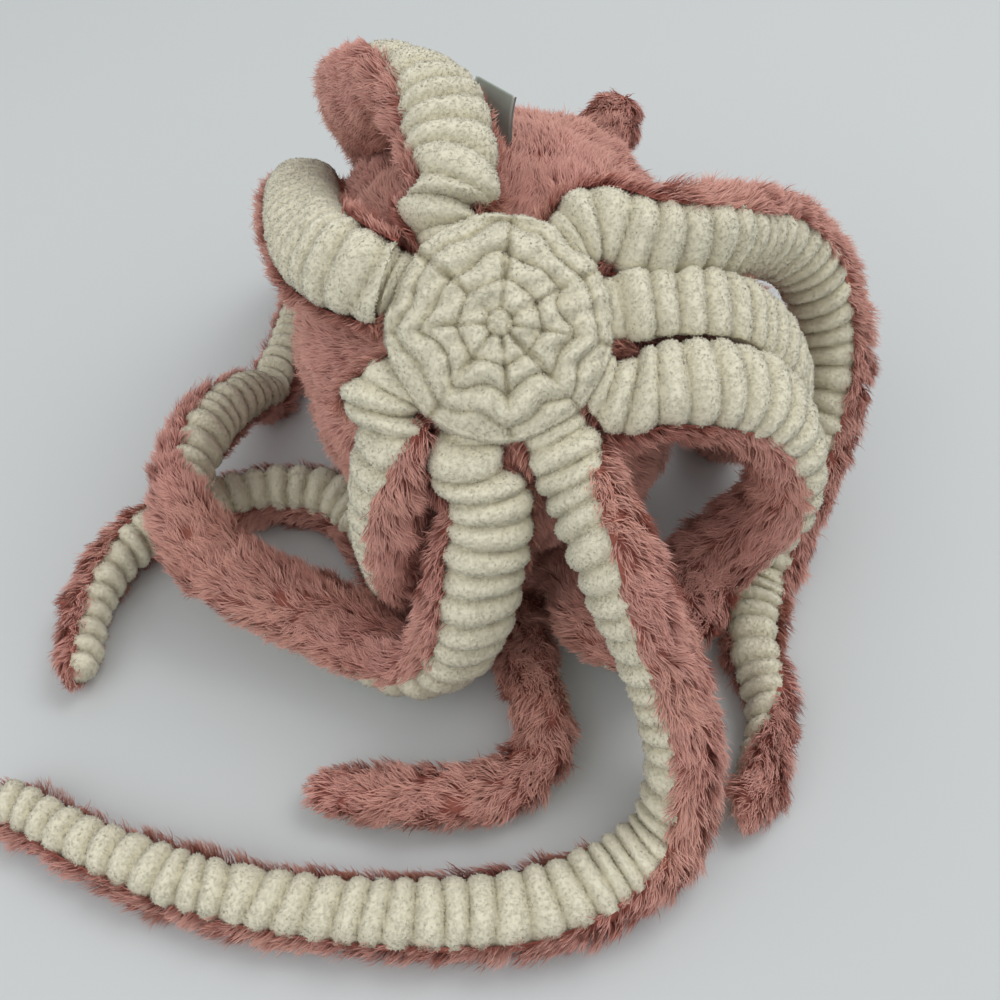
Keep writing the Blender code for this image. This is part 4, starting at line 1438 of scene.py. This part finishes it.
@dataclass
class DiskSizes:
    """How the mouth disk is sewn, in metres.

    The ribs of each gore are stretched and shifted a little against its neighbours'. Shares are
    of the disk's radius.
    """

    first_share: float = 0.004
    rings: int = 60
    spokes: int = 240
    rib_pitch: float = 0.0080
    groove: float = 0.0034
    seam_width: float = 0.0010
    seam_depth: float = 0.0024
    crooked: float = 0.0004
    lumps: float = 0.0006
    calm_radius: float = 0.018
    lay: float = 0.0010
    rim_height: float = 0.0100
    skirt_rings: int = 11
    skirt_shares: tuple[float, float] = (1.01, 1.10)
    skirt_share: float = 0.10
    skirt_drop: float = 0.0215
    skirt_power: float = 1.4
    ridge_power: float = 0.45
    wander: float = 0.12
    gore_stretch: float = 0.03
    stretch_step: float = 2.3
    gore_shift: float = 0.04
    shift_step: float = 4.1
    seam_start: float = 0.006
    seam_pull: tuple[float, float] = (0.75, 0.35)
    pull_range: tuple[float, float] = (0.15, 1.0)
    widest_turn: float = 1.5
    level_share: float = 0.985
    draw_in: float = 0.03
    wander_wave: float = 0.018
    lump_wave: float = 0.009
    crooked_wave: float = 0.013


class MouthDisk:
    """The cream disk that the arms meet at: eight gores of cord whose ribs run round it."""

    def __init__(self, angles_deg: list[float], sizes: DiskSizes) -> None:
        """Take the arms' directions.

        Args:
            angles_deg: where each arm leaves the disk.
            sizes: how the disk is sewn.
        """
        self.angles = np.radians(sorted(angle % 360 for angle in angles_deg))
        self.sizes = sizes
        self.rng = np.random.default_rng(5)

    def build(self, cord: bpy.types.Material, nap: Nap) -> None:
        """Build the disk.

        Args:
            cord: what it is made of.
            nap: how its nap grows.
        """
        z = self.sizes
        skirt = np.linspace(*z.skirt_shares, z.skirt_rings)
        share = np.concatenate((np.linspace(z.first_share, 1.0, z.rings), skirt))[:, None]
        angle = np.linspace(0, 2 * math.pi, z.spokes, endpoint=False)[None]
        gaps = (angle[..., None] - self.angles + math.pi) % (2 * math.pi) - math.pi
        gore = np.abs(gaps).argmin(axis=2)
        off = np.take_along_axis(gaps, gore[..., None], axis=2)[..., 0]
        following = np.roll(self.angles, -1) + np.where(np.arange(8) == 7, 2 * math.pi, 0)
        middles = (self.angles + following) / 2
        seam_gap = (angle[..., None] - middles + math.pi) % (2 * math.pi) - math.pi
        seam = np.abs(seam_gap).min(axis=2)
        radius = share * SIZES.disk_radius
        flat = np.stack((radius * np.cos(angle), radius * np.sin(angle)), axis=2)
        spots = np.concatenate((flat, np.zeros((*flat.shape[:2], 1))), axis=2)
        wander = ripple(spots.reshape(-1, 3), z.wander_wave, 41).reshape(flat.shape[:2])
        lumps = ripple(spots.reshape(-1, 3), z.lump_wave, 42).reshape(flat.shape[:2])
        crooked = ripple(spots.reshape(-1, 3), z.crooked_wave, 43).reshape(flat.shape[:2])
        calm = np.minimum(1, (radius / z.calm_radius) ** 2)
        stretch = 1 + z.gore_stretch * calm * np.sin(gore * z.stretch_step)
        distance = radius * np.cos(off) * stretch / z.rib_pitch
        shift = z.wander * wander + z.gore_shift * np.sin(gore * z.shift_step)
        phase = distance + calm * shift + 0.5
        ridge = np.abs(np.sin(math.pi * phase)) ** z.ridge_power
        hollow = 1.0 - ridge
        across = radius * np.sin(np.minimum(seam, z.widest_turn)) + z.crooked * crooked * calm
        stitched = np.exp(-((across / z.seam_width) ** 2)) * np.minimum(1, radius / z.seam_start)
        mean_pull, uneven_pull = z.seam_pull
        stitched = stitched * np.clip(mean_pull + uneven_pull * wander, *z.pull_range)
        level = np.clip(1 - (share * z.level_share) ** 2, 0, 1) ** (SIZES.disk_power / 2)
        height = np.maximum(level * (SIZES.disk_rise - z.lay), z.rim_height)
        past = np.clip((share - 1.0) / z.skirt_share, 0, 1)
        height = height - z.skirt_drop * past**z.skirt_power
        lift = height - z.groove * hollow - z.seam_depth * stitched + z.lumps * lumps
        grow = radius * (1 - z.draw_in * hollow)
        grid = (
            MOUTH
            + MOUTH_RIGHT * (grow * np.cos(angle))[..., None]
            + MOUTH_UP * (grow * np.sin(angle))[..., None]
            + MOUTH_OUT * lift[..., None]
        )
        surface = Surface.through(grid, True, MOUTH_OUT)
        # This depth in the rib hollows and the seams darkens the cord's colour: painted shade.
        depth = np.clip(hollow + stitched, 0, 1)[..., None]
        piece = Piece("mouth_disk_cord")
        piece.cover(surface, depth[..., 0])
        roots, out, deep = scatter(surface, depth, nap.area, self.rng)
        nap.grow(piece, roots, out, deep[:, 0], self.rng)
        ob = piece.build(cord)
        settle(ob, "cord", "mouth_disk")


class Shading:
    """A material's nodes, with short ways to place and join them."""

    def __init__(self, tree: bpy.types.NodeTree) -> None:
        """Take a node tree.

        Args:
            tree: a material's or a group's tree.
        """
        self.tree = tree

    def node(self, kind: str, **settings: object) -> bpy.types.Node:
        """Place a node.

        Args:
            kind: the node's type.
            settings: properties of the node.

        Returns:
            The node.
        """
        node = self.tree.nodes.new(kind)
        for name, value in settings.items():
            setattr(node, name, value)
        return node

    def join(self, source: bpy.types.NodeSocket, target: bpy.types.NodeSocket) -> None:
        """Join two sockets."""
        self.tree.links.new(source, target)

    def fill(self, node: bpy.types.Node, values: dict[str, object]) -> None:
        """Set inputs of a node.

        Args:
            node: the node.
            values: for each input a value, or a socket that gives it.
        """
        for label, value in values.items():
            if isinstance(value, bpy.types.NodeSocket):
                self.join(value, node.inputs[label])
            else:
                node.inputs[label].default_value = value

    def place(self) -> bpy.types.NodeSocket:
        """Give the places on the object, in metres."""
        return self.node("ShaderNodeTexCoord").outputs["Object"]

    def noise(
        self,
        scale: float | bpy.types.NodeSocket,
        detail: float,
        place: bpy.types.NodeSocket,
        roughness: float = 0.5,
    ) -> bpy.types.NodeSocket:
        """Give an uneven value.

        Args:
            scale: how many lumps there are to a metre.
            detail: how many finer layers there are.
            place: the places that it is read at.
            roughness: how much the finer layers count.

        Returns:
            The value's socket.
        """
        node = self.node("ShaderNodeTexNoise")
        values = {"Scale": scale, "Detail": detail, "Roughness": roughness, "Vector": place}
        self.fill(node, values)
        return node.outputs["Fac"]

    def mapped(
        self,
        value: bpy.types.NodeSocket,
        given: tuple[float, float] = (0.0, 1.0),
        wanted: tuple[float, float] = (0.0, 1.0),
        curve: str = "LINEAR",
    ) -> bpy.types.NodeSocket:
        """Spread a value from one range to another.

        Args:
            value: the value's socket.
            given: the range that it comes in.
            wanted: the range that it is spread to.
            curve: how it runs between the ends.

        Returns:
            The new value's socket.
        """
        node = self.node("ShaderNodeMapRange", interpolation_type=curve)
        ends = dict(zip(("From Min", "From Max", "To Min", "To Max"), (*given, *wanted)))
        self.fill(node, {"Value": value, **ends})
        return node.outputs["Result"]

    def bump(
        self, height: bpy.types.NodeSocket, strength: float, distance: float
    ) -> bpy.types.NodeSocket:
        """Give a normal that follows a height.

        Args:
            height: the height, from 0 to 1.
            strength: how much it counts.
            distance: the height of 1, in metres.

        Returns:
            The normal's socket.
        """
        node = self.node("ShaderNodeBump")
        self.fill(node, {"Strength": strength, "Distance": distance, "Height": height})
        return node.outputs["Normal"]

    def mixed(
        self,
        share: bpy.types.NodeSocket | float,
        first: bpy.types.NodeSocket | Colour,
        second: bpy.types.NodeSocket | Colour,
        blend: str = "MIX",
    ) -> bpy.types.NodeSocket:
        """Mix two colours.

        Args:
            share: how much of the second.
            first: a colour, or a socket that gives one.
            second: a colour, or a socket that gives one.
            blend: the way that they are mixed.

        Returns:
            The mixed colour's socket.
        """
        node = self.node("ShaderNodeMix", data_type="RGBA", blend_type=blend)
        self.fill(node, {"Factor": share})
        for name, value in (("A", first), ("B", second)):
            socket = [s for s in node.inputs if s.name == name and s.type == "RGBA"][0]
            if isinstance(value, tuple):
                socket.default_value = value
            else:
                self.join(value, socket)
        return [s for s in node.outputs if s.type == "RGBA"][0]

    def attribute(self, name: str) -> bpy.types.NodeSocket:
        """Give a value that the mesh holds at its points."""
        return self.node("ShaderNodeAttribute", attribute_name=name).outputs["Fac"]


def make_group(
    name: str, inputs: dict[str, tuple[str, object]], outputs: dict[str, str]
) -> tuple[bpy.types.NodeTree, Shading, bpy.types.Node, bpy.types.Node]:
    """Make an empty shader node group.

    Args:
        name: the group's name.
        inputs: for each input its socket type and first value.
        outputs: for each output its socket type.

    Returns:
        The group, its nodes' helper, and its input and output nodes.
    """
    group = bpy.data.node_groups.new(name, "ShaderNodeTree")
    for label, (kind, value) in inputs.items():
        socket = group.interface.new_socket(label, in_out="INPUT", socket_type=kind)
        socket.default_value = value
    for label, kind in outputs.items():
        group.interface.new_socket(label, in_out="OUTPUT", socket_type=kind)
    helper = Shading(group)
    return group, helper, helper.node("NodeGroupInput"), helper.node("NodeGroupOutput")


COLOUR_SOCKET = ("NodeSocketColor", (1.0, 1.0, 1.0, 1.0))
VALUE_SOCKET = ("NodeSocketFloat", 0.0)


class Dyes:
    """The node groups that the finishes share."""

    def __init__(self) -> None:
        """Make the groups."""
        self.pile = self.make_pile()
        self.towelling = self.make_towelling()

    @staticmethod
    def make_pile() -> bpy.types.NodeTree:
        """Make the group that tints fibres from root to tip and from lock to lock; the darker root
        colour is painted shade among the fibres.
        """
        group, s, given, gives = make_group(
            "pile_tint",
            {
                **dict.fromkeys(("Root", "Tip", "Faded"), COLOUR_SOCKET),
                **dict.fromkeys(("Reach", "Tone"), VALUE_SOCKET),
                "Patch Scale": ("NodeSocketFloat", 30.0),
            },
            {"Colour": "NodeSocketColor"},
        )
        fed = given.outputs
        # Painted shade: each fibre darkens towards its root, where the fibres shade one another.
        climb = s.mapped(fed["Reach"], given=(0.05, 0.85), curve="SMOOTHSTEP")
        along = s.mixed(climb, fed["Root"], fed["Tip"])
        patch = s.noise(fed["Patch Scale"], 3.0, s.place())
        fading = s.mapped(patch, given=(0.35, 0.75), wanted=(0.0, 0.6))
        faded = s.mixed(fading, along, fed["Faded"])
        tone = s.mapped(fed["Tone"], given=(-2.5, 2.5), wanted=(0.84, 1.14))
        grey = s.node("ShaderNodeCombineColor")
        s.fill(grey, dict.fromkeys(("Red", "Green", "Blue"), tone))
        s.fill(gives, {"Colour": s.mixed(1.0, faded, grey.outputs["Color"], "MULTIPLY")})
        return group

    @staticmethod
    def make_towelling() -> bpy.types.NodeTree:
        """Make the group that gives cord its uneven nap, with painted shade in the grooves and in
        the nap's low spots.
        """
        group, s, given, gives = make_group(
            "towelling",
            {
                **dict.fromkeys(("Crest", "Groove", "Shaded"), COLOUR_SOCKET),
                **dict.fromkeys(("Depth", "Tone"), VALUE_SOCKET),
                "Tuft Scale": ("NodeSocketFloat", 700.0),
            },
            {"Colour": "NodeSocketColor", "Height": "NodeSocketFloat"},
        )
        fed = given.outputs
        tufts = s.noise(fed["Tuft Scale"], 4.0, s.place(), roughness=0.65)
        # Painted shade: the deeper in a groove or a seam, the more the colour goes over to the
        # darker, yellower groove colour.
        base = s.mixed(fed["Depth"], fed["Crest"], fed["Groove"])
        # Painted shade: where the nap's bump is low, the colour goes over to the shaded colour.
        shade = s.mapped(tufts, given=(0.40, 0.70), wanted=(0.55, 0.0))
        nap_shaded = s.mixed(shade, base, fed["Shaded"])
        single = s.mapped(fed["Tone"], given=(-2.0, 0.5), wanted=(0.32, 0.0))
        s.fill(gives, {"Colour": s.mixed(single, nap_shaded, fed["Groove"]), "Height": tufts})
        return group


@dataclass(frozen=True)
class FurFinish:
    """Pink pile: its colours from root to tip, with the darker root as painted shade among the
    fibres, and its soft sheen.
    """

    name: str
    # The root colour is painted shade among the fibres.
    root: Colour
    tip: Colour
    faded: Colour
    roughness: float = 0.62
    specular: float = 0.25
    sheen: float = 0.40
    sheen_roughness: float = 0.45

    def material(self, dyes: Dyes) -> bpy.types.Material:
        """Make the material.

        Args:
            dyes: the shared groups.

        Returns:
            The material.
        """
        mat, s, shader = start_material(self.name)
        group = s.node("ShaderNodeGroup", node_tree=dyes.pile)
        colours = {"Root": self.root, "Tip": self.tip, "Faded": self.faded}
        s.fill(group, {**colours, "Reach": s.attribute("reach"), "Tone": s.attribute("tone")})
        looks = {
            "Base Color": group.outputs["Colour"],
            "Roughness": self.roughness,
            "Specular IOR Level": self.specular,
            "Sheen Weight": self.sheen,
            "Sheen Roughness": self.sheen_roughness,
            "Sheen Tint": self.tip,
        }
        s.fill(shader, looks)
        return mat


@dataclass(frozen=True)
class CordFinish:
    """Cream cord with a bumpy nap: lighter on the ribs, and darker and yellower in the grooves and
    the nap's low spots, as painted shade.
    """

    name: str
    crest: Colour
    # Painted shade: the groove colour darkens the rib hollows and seams, and the shaded colour the
    # nap's low spots.
    groove: Colour
    shaded: Colour
    roughness: float = 0.9
    specular: float = 0.15
    sheen: float = 0.3
    sheen_roughness: float = 0.5
    bump: tuple[float, float] = (0.6, 0.0008)

    def material(self, dyes: Dyes) -> bpy.types.Material:
        """Make the material.

        Args:
            dyes: the shared groups.

        Returns:
            The material.
        """
        mat, s, shader = start_material(self.name)
        group = s.node("ShaderNodeGroup", node_tree=dyes.towelling)
        colours = {"Crest": self.crest, "Groove": self.groove, "Shaded": self.shaded}
        s.fill(group, {**colours, "Depth": s.attribute("reach"), "Tone": s.attribute("tone")})
        looks = {
            "Base Color": group.outputs["Colour"],
            "Normal": s.bump(group.outputs["Height"], *self.bump),
            "Roughness": self.roughness,
            "Specular IOR Level": self.specular,
            "Sheen Weight": self.sheen,
            "Sheen Roughness": self.sheen_roughness,
        }
        s.fill(shader, looks)
        return mat


@dataclass(frozen=True)
class TapeFinish:
    """Plain woven tape with a paler edge."""

    name: str
    face: Colour
    edge: Colour
    roughness: float = 0.55
    sheen: float = 0.2
    weave_scale: float = 900.0
    crookedness: float = 0.6
    wear_scale: float = 220.0
    wear: float = 0.35
    selvedge: tuple[float, float] = (0.86, 0.95)
    bump: tuple[float, float] = (0.35, 0.0002)

    def material(self) -> bpy.types.Material:
        """Make the material."""
        mat, s, shader = start_material(self.name)
        place = s.place()
        weave = s.node("ShaderNodeTexWave", wave_type="BANDS", bands_direction="Z")
        threads = {"Scale": self.weave_scale, "Distortion": self.crookedness, "Vector": place}
        s.fill(weave, threads)
        worn = s.mapped(s.noise(self.wear_scale, 3.0, place), wanted=(0.0, self.wear))
        plain = s.mixed(worn, self.face, self.edge)
        rim = s.mapped(s.attribute("reach"), given=self.selvedge)
        looks = {
            "Base Color": s.mixed(rim, plain, self.edge),
            "Normal": s.bump(weave.outputs["Fac"], *self.bump),
            "Roughness": self.roughness,
            "Sheen Weight": self.sheen,
        }
        s.fill(shader, looks)
        return mat


@dataclass(frozen=True)
class BeadFinish:
    """Polished dark plastic with faint scuffs."""

    name: str
    colour: Colour
    coat: float = 0.5
    scuff_scale: float = 1800.0
    roughness: tuple[float, float] = (0.04, 0.16)

    def material(self) -> bpy.types.Material:
        """Make the material."""
        mat, s, shader = start_material(self.name)
        scuffs = s.mapped(s.noise(self.scuff_scale, 2.0, s.place()), wanted=self.roughness)
        s.fill(shader, {"Base Color": self.colour, "Roughness": scuffs, "Coat Weight": self.coat})
        return mat


def start_material(name: str) -> tuple[bpy.types.Material, Shading, bpy.types.Node]:
    """Start a material.

    Args:
        name: the material's name.

    Returns:
        The material, its nodes' helper and its shader.
    """
    mat = bpy.data.materials.new(name)
    mat.use_nodes = True
    return mat, Shading(mat.node_tree), mat.node_tree.nodes["Principled BSDF"]


class Studio:
    """The pale floor, the soft lights and the camera."""

    camera_place = (0.0, -0.318, 0.349)
    camera_tilt_deg = 40.0
    view_deg = 50.0
    sensor_width_mm = 36.0
    nearest = 0.01
    floor_reach = 14.0
    floor_colour = (0.635, 0.665, 0.67, 1.0)
    floor_roughness = 0.7
    floor_patches = 0.08
    floor_patch_scale = 3.0
    sky_colour = (0.98, 0.99, 1.0, 1.0)
    sky_strength = 0.60
    lamps = {"key": ((0.75, 0.35, 1.5), 1.0, 8.5), "fill": ((-0.8, -0.8, 1.0), 1.2, 4.0)}

    def build(self) -> None:
        """Set the whole studio up."""
        scene = bpy.context.scene
        scene.view_settings.view_transform = "Standard"
        mesh = bpy.data.meshes.new("floor")
        reach = self.floor_reach
        corners = [(-reach, -reach, 0), (reach, -reach, 0), (reach, reach, 0), (-reach, reach, 0)]
        mesh.from_pydata(corners, [], [(0, 1, 2, 3)])
        floor = bpy.data.objects.new("floor", mesh)
        scene.collection.objects.link(floor)
        mat, s, shader = start_material("pale_floor")
        unevenness = s.noise(self.floor_patch_scale, 2.0, s.place())
        patches = s.mapped(unevenness, wanted=(0.0, self.floor_patches))
        pale = s.mixed(patches, self.floor_colour, self.sky_colour)
        s.fill(shader, {"Base Color": pale, "Roughness": self.floor_roughness})
        mesh.materials.append(mat)
        world = bpy.data.worlds.new("studio")
        world.use_nodes = True
        back = world.node_tree.nodes["Background"]
        back.inputs["Color"].default_value = self.sky_colour
        back.inputs["Strength"].default_value = self.sky_strength
        scene.world = world
        for name, lamp in self.lamps.items():
            self.lamp(name, *lamp)
        camera = bpy.data.cameras.new("camera")
        camera.sensor_width = self.sensor_width_mm
        camera.lens = self.sensor_width_mm / 2 / math.tan(math.radians(self.view_deg / 2))
        camera.clip_start = self.nearest
        eye = bpy.data.objects.new("camera", camera)
        eye.location = self.camera_place
        eye.rotation_euler = (math.radians(self.camera_tilt_deg), 0.0, 0.0)
        scene.collection.objects.link(eye)
        scene.camera = eye

    @staticmethod
    def lamp(name: str, place: tuple[float, float, float], size: float, power: float) -> None:
        """Hang a square lamp that shines at the octopus.

        Args:
            name: the lamp's name.
            place: where it hangs.
            size: its side, in metres.
            power: its power, in watts.
        """
        light = bpy.data.lights.new(name, "AREA")
        light.size = size
        light.energy = power
        ob = bpy.data.objects.new(name, light)
        ob.location = place
        ob.rotation_euler = (-Vector(place)).to_track_quat("-Z", "Y").to_euler()
        bpy.context.scene.collection.objects.link(ob)


def main() -> None:
    """Build the octopus and its studio."""
    logging.basicConfig(level=logging.INFO, format="%(name)s: %(message)s")
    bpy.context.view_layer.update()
    Studio().build()
    dyes = Dyes()
    # The fur's dark root colour is painted shade among the fibres.
    fur = FurFinish(
        name="pink_fur",
        root=(0.39, 0.12, 0.09, 1),
        tip=(0.76, 0.40, 0.335, 1),
        faded=(0.77, 0.44, 0.345, 1),
    ).material(dyes)
    # The cloth under the fur is painted in the fibres' dark root colour: painted shade beneath the
    # pile.
    cloth = FurFinish(
        name="pink_cloth",
        root=(0.38, 0.12, 0.09, 1),
        tip=(0.38, 0.12, 0.09, 1),
        faded=(0.44, 0.16, 0.11, 1),
    ).material(dyes)
    # The cord's groove and shaded colours are painted shade in the rib hollows, the seams and the
    # nap's low spots.
    cord = CordFinish(
        name="cream_cord",
        crest=(0.94, 0.90, 0.72, 1),
        groove=(0.62, 0.565, 0.39, 1),
        shaded=(0.82, 0.765, 0.58, 1),
    ).material(dyes)
    # The stuffing's shaded colour is painted shade in the low spots of its nap.
    fibre = CordFinish(
        name="stuffing_fibre",
        crest=(0.85, 0.85, 0.83, 1),
        groove=(0.7, 0.7, 0.68, 1),
        shaded=(0.75, 0.75, 0.73, 1),
    ).material(dyes)
    tape = TapeFinish(
        name="label_tape", face=(0.33, 0.40, 0.35, 1), edge=(0.66, 0.70, 0.66, 1)
    ).material()
    bead = BeadFinish(name="eye_bead", colour=(0.008, 0.007, 0.007, 1)).material()
    lines = {limb.name: MiddleLine(limb) for limb in LIMBS}
    crowd = Crowd(lines)
    nap = Nap()
    head = Head(crowd, HeadSizes())
    head.build_cover(cloth, fur)
    head.build_filling(fibre)
    head.build_eyes(cloth, fur, bead)
    head.build_label(tape)
    MouthDisk([limb.root_angle_deg for limb in LIMBS], DiskSizes()).build(cord, nap)
    pile = Pile()
    for limb in LIMBS:
        arm = Arm(limb, lines[limb.name], crowd, ArmSizes())
        arm.build_back(cloth, pile, fur)
        arm.build_strip(cord, nap)


if __name__ == "__main__":
    main()
